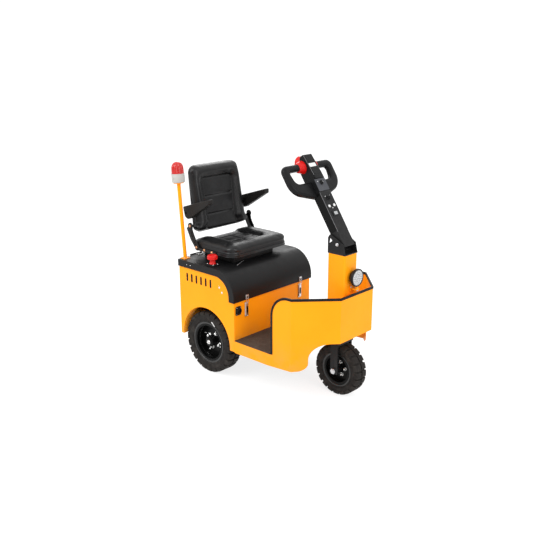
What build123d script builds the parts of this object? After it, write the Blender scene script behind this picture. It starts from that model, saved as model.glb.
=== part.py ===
from build123d import *
from math import cos, pi, radians, sin
import os

# Seated three-wheel airport baggage tug with tiller steering.
# Millimetres, +X forward, +Y to the driver's left, +Z up.
# The origin is on the floor, under the middle of the overall box.

# Overall body
body_width = 670
box_length = 470
nose_reach = 623
hitch_reach = 125
sheet = 4
seat_gap = 0.3
pin_clearance = 0.05

# Rubber edging of the cowl
trim_lip = 2.5
trim_depth = 11

# Front wheel, which reaches further forward than the nose
steer_reach = 522
front_tyre_radius = 151

# Stations along X, worked out from the overall lengths
bulkhead_x = (box_length + hitch_reach - steer_reach - front_tyre_radius) / 2
rear_x = bulkhead_x - box_length
nose_x = bulkhead_x + nose_reach
side_y = body_width / 2
inner_y = side_y - sheet

# Floor, sills and rear box
floor_top = 267
mat_thickness = 4
mat_margin = 5
sill_bottom = 195
panel_bottom = 200
bulkhead_top = 520
rail_height = 38
rail_width = 40
rail_y = 130
tray_clearance = 25

# Hood (battery cover)
hood_top = 677
hood_sheet = 3
hood_proud = 8
hood_side_gap = 6
hood_radius = 155
hood_front_bottom = 501
hood_flange = 42
panel_top = hood_top - hood_sheet - seat_gap

# Rear wheels and arches
rear_axle_x = bulkhead_x - 243
rear_tyre_radius = 190
rear_tyre_width = 106
rear_rim_radius = 114
rear_wheel_inset = 9
rear_wheel_y = side_y - rear_wheel_inset - rear_tyre_width / 2
rear_tyre_inner_y = rear_wheel_y - rear_tyre_width / 2
tray_half_width = rear_tyre_inner_y - tray_clearance
arch_radius = 204
arch_centre_z = 210
arch_lip = 50

# Vent slots in the side panels
slot_count = 6
slot_pitch = 41
slot_width = 13
slot_height = 50
slot_centre_x = bulkhead_x - 296
slot_centre_z = 576

# Front cowl
cowl_top = 624
cowl_rear = bulkhead_x + 290
cowl_corner = 122
taper_x = bulkhead_x + 436
nose_half_width = 144
lobe_setback = 123
lobe_x = nose_x - lobe_setback
lobe_bottom = 211
lobe_corner = 46
lobe_sweep = 90
nose_bottom = 366
sill_rise_x = bulkhead_x + 262

# Steering column and front deck
steer_x = bulkhead_x + steer_reach
column_depth = 118
column_setback = 9
column_width = 112
column_wall = 5
column_top = 830
deck_top = 375
riser_x = bulkhead_x + 344
stem_radius = 20

# Front wheel and fork
front_tyre_width = 94
front_rim_radius = 86
fork_gap = 9
fork_leg = 10
fork_leg_width = 50
fork_leg_end = 18
fork_crown = 16
fork_headroom = 10
axle_radius = 10

# Tyres and rims, all wheels
rear_lugs = 24
front_lugs = 20
rear_bead = 40
front_bead = 34
lug_share = 0.68
lug_height = 9
lug_proud = 3
lug_skirt = 16
lug_groove = 8
shoulder_run = 11
shoulder_drop = 9
wall_rise = 32
flange = 4
flange_height = 9
flange_room = 10
rim_wall = 6
disc_thickness = 8
hub_wall = 16
bolt_face_share = 0.62

# Tiller
tilt_pivot_z = 888
tiller_lean = 33.5
arm_width = 90
arm_depth = 58
arm_wall = 4
arm_corner = 5
arm_tail = 30
arm_length = 300
yoke_gap = 5.5
yoke_cheek = 6
yoke_base = 6
yoke_length = 120
yoke_ear = 48
yoke_ear_side = 28
yoke_ear_run = 12
yoke_crest = 27
yoke_crest_back = 8
yoke_shoulder = 14
yoke_round = 6
tilt_pin_radius = 8
tilt_pin_proud = 6
head_width = 70
head_tip = 528
head_lip = 378
grip_distance = 472
grip_half_width = 183
grip_radius = 20
loop_setback = 20
loop_side = 329
loop_bottom = 279
loop_top_corner = 38
loop_low_corner = 90
loop_round = 17
window_bottom = 378
window_foot = 150
window_lap = 5
window_corner = 15
window_low_corner = 38

# Seat
seat_rear_x = bulkhead_x - 459
seat_depth = 359
seat_front_x = seat_rear_x + seat_depth
seat_side_gap = 93
seat_width = body_width - 2 * seat_side_gap
seat_corner = 60
seat_riser_height = 46
seat_riser_depth = 264
seat_riser_width = 342
seat_riser_inset = 35
pan_height = 18
cushion_height = 58
cushion_round = 24
back_lean = 10.5
back_bottom_x = bulkhead_x - 407
back_gap = 27
back_bottom_z = hood_top + seat_riser_height + pan_height + cushion_height + back_gap
back_height = 402
back_inset = 30
back_width = seat_width - 2 * back_inset
back_taper = 29
back_top_width = back_width - 2 * back_taper
back_pad = 56
back_shell = 18

# Armrests
armrest_pivot_up = 130
armrest_pivot_in = 50
armrest_reach = 204
armrest_tail = 28
armrest_rear_top = 34
armrest_rear_bottom = 54
armrest_tip_top = 107
armrest_tip_bottom = 78
armrest_heel = 30
armrest_corner = 7
armrest_width = 41
armrest_gap = 6
armrest_pin_radius = 7

# Beacon and emergency stop
beacon_x = bulkhead_x - 447
beacon_inset = 31
beacon_y = beacon_inset - side_y
pole_radius = 11
pole_length = 458
pole_lean = 4.5
beacon_radius = 39
beacon_base_height = 52
beacon_dome_height = 70
estop_x = bulkhead_x - 208
estop_inset = 34
estop_y = estop_inset - side_y

# Tow hitch
hitch_z = 262
hitch_mouth = 38
hitch_jaw = 12
hitch_width = 76
hitch_pin_radius = 11
hitch_plate = 8
hitch_plate_width = 152
hitch_plate_height = 106
hitch_corner = 8
hitch_web = 20

# Headlight
light_radius = 50
light_y = 14
light_z = 703
light_reach = 90
light_front_x = steer_x + light_reach
light_depth = 38
light_back_radius = 30
bezel_depth = 13
bezel_width = 6
lens_depth = 5

# Hood hinges and latches
hinge_pin_radius = 3
hinge_barrel = 6.5
hinge_y = 190
hinge_length = 90
hinge_leaf = 3
hinge_play = 1
hinge_x = rear_x - hinge_barrel - hinge_play
hinge_z = hood_top
latch_inset = 99
latch_y = side_y - latch_inset
latch_width = 26

os.makedirs("parts", exist_ok=True)


def save(piece, label):
    piece.part.label = label
    export_step(piece.part, "parts/" + label + ".step")


def near(shapes, x, y):
    return shapes.sort_by_distance((x, y, 0))[0]


# Frame rails, with cross members and outriggers that reach the side panels
rail_bottom = floor_top - sheet - rail_height
rail_rear = rear_x + sheet
rail_length = riser_x - rail_rear
outrigger_xs = [bulkhead_x + rail_width, riser_x - rail_width / 2]
with BuildPart() as chassis_frame:
    with BuildSketch(Plane.XY.offset(rail_bottom)):
        with Locations(((rail_rear + riser_x) / 2, 0)):
            with GridLocations(1, 2 * rail_y, 1, 2):
                Rectangle(rail_length, rail_width)
        with Locations(*[(x, 0) for x in outrigger_xs]):
            Rectangle(rail_width, 2 * inner_y)
        with Locations((rail_rear + rail_width / 2, 0)):
            Rectangle(rail_width, 2 * tray_half_width)
    extrude(amount=rail_height)
save(chassis_frame, "chassis_frame")

# Floor plate: wide under the driver's feet, narrow between the rear wheels
with BuildPart() as floor_plate:
    with BuildSketch(Plane.XY.offset(floor_top - sheet)):
        with Locations(((bulkhead_x - sheet + riser_x) / 2, 0)):
            Rectangle(riser_x - bulkhead_x + sheet, 2 * inner_y)
        with Locations(((rail_rear + bulkhead_x) / 2, 0)):
            Rectangle(bulkhead_x - rail_rear, 2 * tray_half_width)
    extrude(amount=sheet)
save(floor_plate, "floor_plate")

# Rubber mat on the step, out over the sills where the step is open
mat_narrow = inner_y - trim_lip - mat_margin
with BuildPart() as floor_mat:
    with BuildSketch(Plane.XY.offset(floor_top)) as mat_outline:
        with Locations(((bulkhead_x + riser_x) / 2, 0)):
            Rectangle(riser_x - bulkhead_x, 2 * mat_narrow)
        mat_wide_front = cowl_rear - trim_lip - mat_margin
        with Locations(((bulkhead_x + mat_wide_front) / 2, 0)):
            Rectangle(mat_wide_front - bulkhead_x, body_width)
    extrude(amount=mat_thickness)
save(floor_mat, "floor_mat")

# Side panel with its wheel arch, inward arch lip and vent slots
with BuildPart() as side_panel_right:
    with BuildSketch(Plane.XZ.offset(inner_y)) as panel_face:
        with BuildLine():
            Polyline(
                (rear_x, panel_bottom),
                (bulkhead_x, panel_bottom),
                (bulkhead_x, panel_top),
                (rear_x, panel_top),
                close=True,
            )
        make_face()
        fillet(near(panel_face.vertices(), bulkhead_x, panel_top), hood_radius - hood_proud)
        with Locations((rear_axle_x, arch_centre_z)):
            Circle(arch_radius, mode=Mode.SUBTRACT)
        with Locations((slot_centre_x, slot_centre_z)):
            with GridLocations(slot_pitch, 1, slot_count, 1):
                SlotOverall(slot_height, slot_width, rotation=90, mode=Mode.SUBTRACT)
    extrude(amount=sheet)
    with BuildSketch(Plane.XZ.offset(inner_y)):
        with Locations((rear_axle_x, arch_centre_z)):
            Circle(arch_radius + sheet)
            Circle(arch_radius, mode=Mode.SUBTRACT)
        with Locations((rear_axle_x, panel_bottom + arch_radius)):
            Rectangle(4 * arch_radius, 2 * arch_radius, mode=Mode.INTERSECT)
    extrude(amount=-arch_lip)
save(side_panel_right, "side_panel_right")

with BuildPart() as side_panel_left:
    mirror(side_panel_right.part, about=Plane.XZ)
save(side_panel_left, "side_panel_left")

# Bulkhead behind the driver's legs, standing on the floor plate
with BuildPart() as bulkhead:
    with BuildSketch(Plane.XY.offset(floor_top)):
        with Locations((bulkhead_x - sheet / 2, 0)):
            Rectangle(sheet, 2 * inner_y)
    extrude(amount=bulkhead_top - floor_top)
save(bulkhead, "bulkhead")

with BuildPart() as rear_panel:
    with BuildSketch(Plane.XY.offset(panel_bottom)):
        with Locations((rear_x + sheet / 2, 0)):
            Rectangle(sheet, 2 * inner_y)
    extrude(amount=panel_top - panel_bottom)
save(rear_panel, "rear_panel")


def plan_outline(grow):
    """Plan of the cowl, grown outwards, reaching back past the bulkhead."""
    with BuildSketch(Plane.XY) as outline:
        with BuildLine():
            Polyline(
                (bulkhead_x - side_y, -side_y),
                (taper_x, -side_y),
                (nose_x, -nose_half_width),
                (nose_x, nose_half_width),
                (taper_x, side_y),
                (bulkhead_x - side_y, side_y),
                close=True,
            )
        make_face()
        if grow:
            offset(amount=grow, kind=Kind.INTERSECTION, mode=Mode.REPLACE)
    return outline.sketch


cowl_outer = plan_outline(0)
cowl_inner = plan_outline(-sheet)

# Cowl and sills: one sheet bent round the front, cut to its side profile
with BuildPart() as front_cowl:
    with BuildSketch(Plane.XY):
        add(cowl_outer)
        add(cowl_inner, mode=Mode.SUBTRACT)
    extrude(amount=cowl_top)
    with BuildSketch(Plane.XZ) as cowl_profile:
        with BuildLine():
            Polyline(
                (bulkhead_x, sill_bottom),
                (sill_rise_x, sill_bottom),
                (lobe_x, lobe_bottom),
                (lobe_x, nose_bottom),
                (nose_x + sheet, nose_bottom),
                (nose_x + sheet, cowl_top),
                (cowl_rear, cowl_top),
                (cowl_rear, floor_top),
                (bulkhead_x, floor_top),
                close=True,
            )
        make_face()
        fillet(near(cowl_profile.vertices(), lobe_x, lobe_bottom), lobe_corner)
        fillet(near(cowl_profile.vertices(), lobe_x, nose_bottom), lobe_sweep)
        fillet(near(cowl_profile.vertices(), cowl_rear, cowl_top), cowl_corner)
    extrude(amount=body_width, both=True, mode=Mode.INTERSECT)
save(front_cowl, "front_cowl")

# Rubber edging over the cowl's top and rear edges
trim_outer = plan_outline(trim_lip)
trim_inner = plan_outline(-sheet - trim_lip)
trim_foot = floor_top + mat_thickness
with BuildPart() as cowl_trim:
    with BuildSketch(Plane.XY):
        add(trim_outer)
        add(trim_inner, mode=Mode.SUBTRACT)
    extrude(amount=cowl_top + trim_lip)
    with BuildSketch(Plane.XZ) as trim_profile:
        with BuildLine():
            Polyline(
                (cowl_rear - trim_lip, trim_foot),
                (cowl_rear + trim_depth, trim_foot),
                (cowl_rear + trim_depth, cowl_top - trim_depth),
                (nose_x + sheet, cowl_top - trim_depth),
                (nose_x + sheet, cowl_top + trim_lip),
                (cowl_rear - trim_lip, cowl_top + trim_lip),
                close=True,
            )
        make_face()
        inside_corner = near(trim_profile.vertices(), cowl_rear + trim_depth, cowl_top - trim_depth)
        fillet(inside_corner, cowl_corner - trim_depth)
        outside_corner = near(trim_profile.vertices(), cowl_rear - trim_lip, cowl_top + trim_lip)
        fillet(outside_corner, cowl_corner + trim_lip)
    extrude(amount=body_width, both=True, mode=Mode.INTERSECT)
    add(front_cowl.part, mode=Mode.SUBTRACT)
save(cowl_trim, "cowl_trim")

# Raised front deck over the wheel, with the riser in front of the feet
with BuildPart() as front_deck:
    with BuildSketch(Plane.XY.offset(deck_top - sheet)):
        add(cowl_inner)
        with Locations((riser_x + nose_reach / 2, 0)):
            Rectangle(nose_reach, body_width, mode=Mode.INTERSECT)
        with Locations((steer_x, 0)):
            Circle(stem_radius + pin_clearance, mode=Mode.SUBTRACT)
    extrude(amount=sheet)
    with BuildSketch(Plane.XY.offset(rail_bottom)):
        with Locations((riser_x + sheet / 2, 0)):
            Rectangle(sheet, 2 * inner_y)
    extrude(amount=deck_top - rail_bottom)
save(front_deck, "front_deck")

# Square steering column with a bored top plate
column_x = steer_x - column_setback
with BuildPart() as steering_column:
    with BuildSketch(Plane.XY.offset(deck_top)):
        with Locations((column_x, 0)):
            RectangleRounded(column_depth, column_width, 2 * column_wall)
            RectangleRounded(
                column_depth - 2 * column_wall,
                column_width - 2 * column_wall,
                column_wall,
                mode=Mode.SUBTRACT,
            )
    extrude(amount=column_top - deck_top)
    with BuildSketch(Plane.XY.offset(column_top - column_wall)):
        with Locations((column_x, 0)):
            RectangleRounded(column_depth, column_width, 2 * column_wall)
        with Locations((steer_x, 0)):
            Circle(stem_radius + pin_clearance, mode=Mode.SUBTRACT)
    extrude(amount=column_wall)
save(steering_column, "steering_column")

# Drive axle: tube with saddles under the rails, gear case, motor and shaft ends
axle_tube_radius = 28
shaft_radius = 15
gear_case_radius = 66
motor_radius = 58
motor_length = 190
saddle_length = 70
axle_end_gap = 12
axle_tube_end = rear_tyre_inner_y - axle_end_gap
with BuildPart() as drive_axle:
    with BuildSketch(Plane.XZ.offset(-axle_tube_end)):
        with Locations((rear_axle_x, rear_tyre_radius)):
            Circle(axle_tube_radius)
    extrude(amount=2 * axle_tube_end)
    with BuildSketch(Plane.XZ.offset(-rear_wheel_y)):
        with Locations((rear_axle_x, rear_tyre_radius)):
            Circle(shaft_radius)
    extrude(amount=2 * rear_wheel_y)
    with Locations((rear_axle_x, 0, rear_tyre_radius)):
        Sphere(gear_case_radius)
    with BuildSketch(Plane.YZ.offset(rear_axle_x)):
        with Locations((0, rear_tyre_radius)):
            Circle(motor_radius)
    extrude(amount=gear_case_radius + motor_length)
    with BuildSketch(Plane.XY.offset(rear_tyre_radius)):
        with Locations((rear_axle_x, 0)):
            with GridLocations(1, 2 * rail_y, 1, 2):
                Rectangle(saddle_length, rail_width)
    extrude(amount=rail_bottom - rear_tyre_radius)
save(drive_axle, "drive_axle")

battery_length = 380
battery_clearance = 40
battery_width = 2 * (rear_tyre_inner_y - battery_clearance)
battery_height = 290
battery_corner = 8
with BuildPart() as battery_pack:
    with BuildSketch(Plane.XY.offset(floor_top)):
        with Locations((rear_x + box_length / 2, 0)):
            RectangleRounded(battery_length, battery_width, battery_corner)
    extrude(amount=battery_height)
save(battery_pack, "battery_pack")

# Tow hitch: back plate and two bored jaws with a drawbar gap between them
hitch_tip_x = rear_x - hitch_reach
hitch_bore_x = hitch_tip_x + hitch_width / 2
with BuildPart() as tow_hitch:
    with BuildSketch(Plane.YZ.offset(rear_x)):
        with Locations((0, hitch_z)):
            RectangleRounded(hitch_plate_width, hitch_plate_height, hitch_corner)
    extrude(amount=-hitch_plate)
    with BuildSketch(Plane.XY.offset(hitch_z - hitch_mouth / 2 - hitch_jaw)):
        with Locations((hitch_bore_x, 0)):
            Circle(hitch_width / 2)
        with Locations(((hitch_bore_x + rear_x) / 2, 0)):
            Rectangle(rear_x - hitch_bore_x, hitch_width)
    extrude(amount=hitch_mouth + 2 * hitch_jaw)
    mouth_depth = hitch_reach - hitch_plate - hitch_web
    with BuildSketch(Plane.XY.offset(hitch_z - hitch_mouth / 2)):
        with Locations((hitch_tip_x + mouth_depth / 2, 0)):
            Rectangle(mouth_depth, 2 * hitch_width)
    extrude(amount=hitch_mouth, mode=Mode.SUBTRACT)
    with Locations((hitch_bore_x, 0, hitch_z + hitch_mouth / 2 + hitch_jaw)):
        Hole(hitch_pin_radius, 2 * hitch_width)
save(tow_hitch, "tow_hitch")

# Charging socket on the bulkhead
socket_inset = 32
socket_y = socket_inset - side_y
socket_z = 448
socket_width = 40
socket_height = 52
socket_corner = 6
socket_flange = 6
socket_radius = 17
socket_bore = 13
socket_reach = 10
with BuildPart() as charge_socket:
    with BuildSketch(Plane.YZ.offset(bulkhead_x)):
        with Locations((socket_y, socket_z)):
            RectangleRounded(socket_width, socket_height, socket_corner)
    extrude(amount=socket_flange)
    with BuildSketch(Plane.YZ.offset(bulkhead_x + socket_flange)):
        with Locations((socket_y, socket_z)):
            Circle(socket_radius)
            Circle(socket_bore, mode=Mode.SUBTRACT)
    extrude(amount=socket_reach)
save(charge_socket, "charge_socket")

# Over-centre latch levers on the bulkhead, one each side
lever_gap = 16
lever_top = hood_front_bottom - lever_gap
lever_bottom = 397
lever_base = 4
lever_corner = 4
lever_margin = 4
lever_thickness = 6
with BuildPart() as latch_levers:
    with BuildSketch(Plane.YZ.offset(bulkhead_x)):
        with GridLocations(2 * latch_y, 1, 2, 1):
            with Locations((0, (lever_top + lever_bottom) / 2)):
                RectangleRounded(latch_width, lever_top - lever_bottom, lever_corner)
    extrude(amount=lever_base)
    with BuildSketch(Plane.YZ.offset(bulkhead_x + lever_base)):
        with GridLocations(2 * latch_y, 1, 2, 1):
            with Locations((0, (lever_top + lever_bottom) / 2)):
                lever_length = lever_top - lever_bottom - 2 * lever_margin
                RectangleRounded(latch_width - 2 * lever_margin, lever_length, lever_corner)
    extrude(amount=lever_thickness)
save(latch_levers, "latch_levers")

# Headlight on its bracket, in front of the column
column_front_x = column_x + column_depth / 2
bracket_drop = 16
bracket_width = 32
bracket_plate = 5
bracket_stub = 6
bracket_foot = 45
bracket_end = 7
bracket_seat = 2
bracket_z = light_z - light_radius - bracket_drop
stub_x = light_front_x - bezel_depth / 2
with BuildPart() as headlight_bracket:
    with BuildSketch(Plane.YZ.offset(column_front_x)):
        with Locations((light_y, bracket_z)):
            Rectangle(bracket_foot, bracket_width)
    extrude(amount=bracket_plate)
    bracket_length = stub_x + bracket_end - column_front_x
    with BuildSketch(Plane.XY.offset(bracket_z - bracket_plate / 2)):
        with Locations((column_front_x + bracket_length / 2, light_y)):
            Rectangle(bracket_length, bracket_width)
    extrude(amount=bracket_plate)
    with BuildSketch(Plane.XY.offset(bracket_z)):
        with Locations((stub_x, light_y)):
            Circle(bracket_stub)
    extrude(amount=bracket_drop + bracket_seat)
save(headlight_bracket, "headlight_bracket")

lens_radius = light_radius - bezel_width
light_axis = Axis((0, light_y, light_z), (1, 0, 0))
light_section = Plane(origin=(light_front_x, light_y, light_z), x_dir=(-1, 0, 0), z_dir=(0, 1, 0))
with BuildPart() as headlight_housing:
    with BuildSketch(light_section):
        with BuildLine():
            Polyline(
                (0, lens_radius),
                (0, light_radius),
                (bezel_depth, light_radius),
                (light_depth, light_back_radius),
                (light_depth, 0),
                (lens_depth, 0),
                (lens_depth, lens_radius),
                close=True,
            )
        make_face()
    revolve(axis=light_axis)
    add(headlight_bracket.part, mode=Mode.SUBTRACT)
save(headlight_housing, "headlight_housing")

with BuildPart() as headlight_lens:
    with BuildSketch(Plane.YZ.offset(light_front_x)):
        with Locations((light_y, light_z)):
            Circle(lens_radius)
    extrude(amount=-lens_depth)
save(headlight_lens, "headlight_lens")

# Hood hinges: fixed leaves with outer barrels and pins, moving leaves between
barrel_third = hinge_length / 3
barrel_length = barrel_third - hinge_play
leaf_drop = 10
leaf_reach = 40
hinge_ys = [-hinge_y, hinge_y]
outer_barrels = [(hinge_x, y + side * barrel_third, hinge_z) for y in hinge_ys for side in (-1, 1)]
with BuildPart() as hinge_fixed:
    with BuildSketch(Plane.YZ.offset(rear_x)):
        with Locations(*[(y, hinge_z - leaf_drop - leaf_reach / 2) for y in hinge_ys]):
            Rectangle(hinge_length, leaf_reach)
        with Locations(*[(y, hinge_z - leaf_drop / 2) for x, y, z in outer_barrels]):
            Rectangle(barrel_length, leaf_drop)
    extrude(amount=-hinge_leaf)
    with Locations(*outer_barrels):
        Cylinder(hinge_barrel, barrel_length, rotation=(90, 0, 0))
    with Locations(*[(hinge_x, y, hinge_z) for y in hinge_ys]):
        Cylinder(hinge_pin_radius, hinge_length, rotation=(90, 0, 0))
save(hinge_fixed, "hinge_fixed")

with BuildPart() as hinge_moving:
    with BuildSketch(Plane.XY.offset(hood_top)):
        with Locations(*[((hinge_x + rear_x + leaf_reach) / 2, y) for y in hinge_ys]):
            Rectangle(rear_x + leaf_reach - hinge_x, barrel_length)
    extrude(amount=hinge_leaf)
    with Locations(*[(hinge_x, y, hinge_z) for y in hinge_ys]):
        Cylinder(hinge_barrel, barrel_length, rotation=(90, 0, 0))
        bore = hinge_pin_radius + pin_clearance
        Cylinder(bore, hinge_length, rotation=(90, 0, 0), mode=Mode.SUBTRACT)
save(hinge_moving, "hinge_moving")

# Hood shell: flat top rolled over the front, with side flanges outside the panels
hood_front = bulkhead_x + hood_proud
hood_rear = rear_x + seat_gap
hood_half_width = side_y + hood_side_gap + hood_sheet
hood_overcut = 1


def hood_face(inset, radius):
    """Side view of the hood, moved in from its outer line by an inset."""
    low = hood_front_bottom - (hood_overcut if inset else 0)
    back = hood_rear - (hood_overcut if inset else 0)
    with BuildSketch(Plane.XZ) as face:
        with BuildLine():
            Polyline(
                (back, low),
                (hood_front - inset, low),
                (hood_front - inset, hood_top - inset),
                (back, hood_top - inset),
                close=True,
            )
        make_face()
        fillet(near(face.vertices(), hood_front - inset, hood_top - inset), radius)
    return face.sketch_local


hood_outside = hood_face(0, hood_radius)
hood_inside = hood_face(hood_sheet, hood_radius - hood_sheet)
hood_flange_line = hood_face(hood_flange, hood_radius - hood_flange)
with BuildPart() as hood_shell:
    with BuildSketch(Plane.XZ):
        add(hood_outside)
        add(hood_inside, mode=Mode.SUBTRACT)
    extrude(amount=hood_half_width, both=True)
    for flange_plane in (Plane.XZ.offset(hood_half_width - hood_sheet), Plane.XZ.offset(-hood_half_width)):
        with BuildSketch(flange_plane):
            add(hood_outside)
            add(hood_flange_line, mode=Mode.SUBTRACT)
        extrude(amount=hood_sheet)
save(hood_shell, "hood_shell")

# Latch keepers on the hood, with the wire loops that the levers pull
keeper_rise = 31
keeper_top = hood_front_bottom + keeper_rise
keeper_height = 27
keeper_width = 22
keeper_corner = 3
keeper_thickness = 3
keeper_hook = 5
loop_wire = 3
loop_width = 19
loop_gap = 2
latch_loop_top = keeper_top - keeper_hook
latch_loop_bottom = lever_top + loop_gap
latch_loop_height = latch_loop_top - latch_loop_bottom
with BuildPart() as latch_keepers:
    with BuildSketch(Plane.YZ.offset(hood_front)):
        with Locations((-latch_y, keeper_top - keeper_height / 2), (latch_y, keeper_top - keeper_height / 2)):
            RectangleRounded(keeper_width, keeper_height, keeper_corner)
    extrude(amount=keeper_thickness)
    loop_mid = (latch_loop_top + latch_loop_bottom) / 2
    with BuildSketch(Plane.YZ.offset(hood_front + keeper_thickness)):
        with Locations((-latch_y, loop_mid), (latch_y, loop_mid)):
            Rectangle(loop_width, latch_loop_height)
            Rectangle(loop_width - 2 * loop_wire, latch_loop_height - 2 * loop_wire, mode=Mode.SUBTRACT)
    extrude(amount=loop_wire)
save(latch_keepers, "latch_keepers")

# Emergency stop on its base block
estop_base_height = 12
estop_base_length = 64
estop_base_width = 46
estop_base_corner = 8
estop_radius = 31
estop_neck = 15
estop_collar = 6
estop_cap_z = 24
estop_height = 54
estop_round = 12
with BuildPart() as estop_base:
    with BuildSketch(Plane.XY.offset(hood_top)):
        with Locations((estop_x, estop_y)):
            RectangleRounded(estop_base_length, estop_base_width, estop_base_corner)
    extrude(amount=estop_base_height)
save(estop_base, "estop_base")

estop_seat_z = hood_top + estop_base_height
estop_section = Plane(origin=(estop_x, estop_y, estop_seat_z), x_dir=(0, 1, 0), z_dir=(1, 0, 0))
with BuildPart() as estop_button:
    with BuildSketch(estop_section):
        with BuildLine():
            Polyline(
                (0, 0),
                (estop_neck + estop_collar, 0),
                (estop_neck, 2 * estop_collar),
                (estop_neck, estop_cap_z),
                (estop_radius, estop_cap_z + estop_collar),
                (estop_radius, estop_height - estop_round),
            )
            crown_start = (estop_radius, estop_height - estop_round)
            crown_end = (estop_radius - estop_round, estop_height)
            RadiusArc(crown_start, crown_end, -estop_round)
            Polyline((estop_radius - estop_round, estop_height), (0, estop_height), (0, 0))
        make_face()
    revolve(axis=Axis((estop_x, estop_y, 0), (0, 0, 1)))
save(estop_button, "estop_button")

# Beacon on a leaning pole with a foot plate
foot_height = 5
foot_length = 42
foot_width = 48
beacon_flange = 31
beacon_edge = 3
lean = radians(pole_lean)
pole_foot = Plane(
    origin=(beacon_x, beacon_y, hood_top + foot_height / 2),
    x_dir=(cos(lean), 0, sin(lean)),
    z_dir=(-sin(lean), 0, cos(lean)),
)
pole_axis = Axis(pole_foot.origin, pole_foot.z_dir)
pole_section = Plane(origin=pole_foot.origin, x_dir=(0, 1, 0), z_dir=pole_foot.x_dir)
with BuildPart() as beacon_pole:
    with BuildSketch(Plane.XY.offset(hood_top)):
        with Locations((beacon_x, beacon_y)):
            RectangleRounded(foot_length, foot_width, foot_height)
    extrude(amount=foot_height)
    with BuildSketch(pole_foot):
        Circle(pole_radius)
    extrude(amount=pole_length)
    with BuildSketch(pole_foot.offset(pole_length)):
        Circle(beacon_flange)
    extrude(amount=-foot_height)
save(beacon_pole, "beacon_pole")

dome_root = pole_length + beacon_base_height
with BuildPart() as beacon_base:
    with BuildSketch(pole_section):
        with BuildLine():
            Polyline(
                (0, pole_length),
                (beacon_radius - beacon_edge, pole_length),
                (beacon_radius, pole_length + 2 * beacon_edge),
                (beacon_radius, dome_root),
                (0, dome_root),
                close=True,
            )
        make_face()
    revolve(axis=pole_axis)
save(beacon_base, "beacon_base")

dome_radius = beacon_radius - beacon_edge / 2
dome_top_radius = dome_radius - beacon_edge
dome_shoulder = dome_root + beacon_dome_height - dome_top_radius
with BuildPart() as beacon_dome:
    with BuildSketch(pole_section):
        with BuildLine():
            Polyline(
                (0, dome_root + beacon_dome_height),
                (0, dome_root),
                (dome_radius, dome_root),
                (dome_top_radius, dome_shoulder),
            )
            CenterArc((0, dome_shoulder), dome_top_radius, 0, 90)
        make_face()
    revolve(axis=pole_axis)
save(beacon_dome, "beacon_dome")

# Seat: riser on the hood, pan, cushion, back shell and back cushion
seat_mid_x = seat_front_x - seat_depth / 2
pan_bottom = hood_top + seat_riser_height
cushion_bottom = pan_bottom + pan_height
riser_corner = 10
with BuildPart() as seat_riser:
    with BuildSketch(Plane.XY.offset(hood_top)):
        with Locations((seat_rear_x + seat_riser_inset + seat_riser_depth / 2, 0)):
            RectangleRounded(seat_riser_depth, seat_riser_width, riser_corner)
    extrude(amount=seat_riser_height)
save(seat_riser, "seat_riser")

with BuildPart() as seat_pan:
    with BuildSketch(Plane.XY.offset(pan_bottom)):
        with Locations((seat_mid_x, 0)):
            RectangleRounded(seat_depth, seat_width, seat_corner)
    extrude(amount=pan_height)
save(seat_pan, "seat_pan")

with BuildPart() as seat_cushion:
    with BuildSketch(Plane.XY.offset(cushion_bottom)):
        with Locations((seat_mid_x, 0)):
            RectangleRounded(seat_depth, seat_width, seat_corner)
    extrude(amount=cushion_height)
    fillet(seat_cushion.edges().group_by(Axis.Z)[-1], cushion_round)
save(seat_cushion, "seat_cushion")

tilt = radians(back_lean)
back_up = Vector(-sin(tilt), 0, cos(tilt))
back_out = Vector(cos(tilt), 0, sin(tilt))
back_origin = Vector(back_bottom_x, 0, back_bottom_z)
back_plane = Plane(origin=back_origin, x_dir=(0, 1, 0), z_dir=back_out)
back_axis = Axis(back_origin, back_out)
back_corner = 48
back_round = 20


def back_outline(inset):
    """Outline of the backrest, wider at the bottom, moved in by an inset."""
    with BuildSketch(Plane.XY) as outline:
        with BuildLine():
            Polyline(
                (-back_width / 2 + inset, inset),
                (back_width / 2 - inset, inset),
                (back_top_width / 2 - inset, back_height - inset),
                (-back_top_width / 2 + inset, back_height - inset),
                close=True,
            )
        make_face()
        fillet(outline.vertices(), back_corner - inset)
    return outline.sketch


with BuildPart() as seat_back_cushion:
    with BuildSketch(back_plane):
        add(back_outline(0))
    extrude(amount=-back_pad)
    fillet(seat_back_cushion.faces().sort_by(back_axis)[-1].edges(), back_round)
save(seat_back_cushion, "seat_back_cushion")

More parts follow.
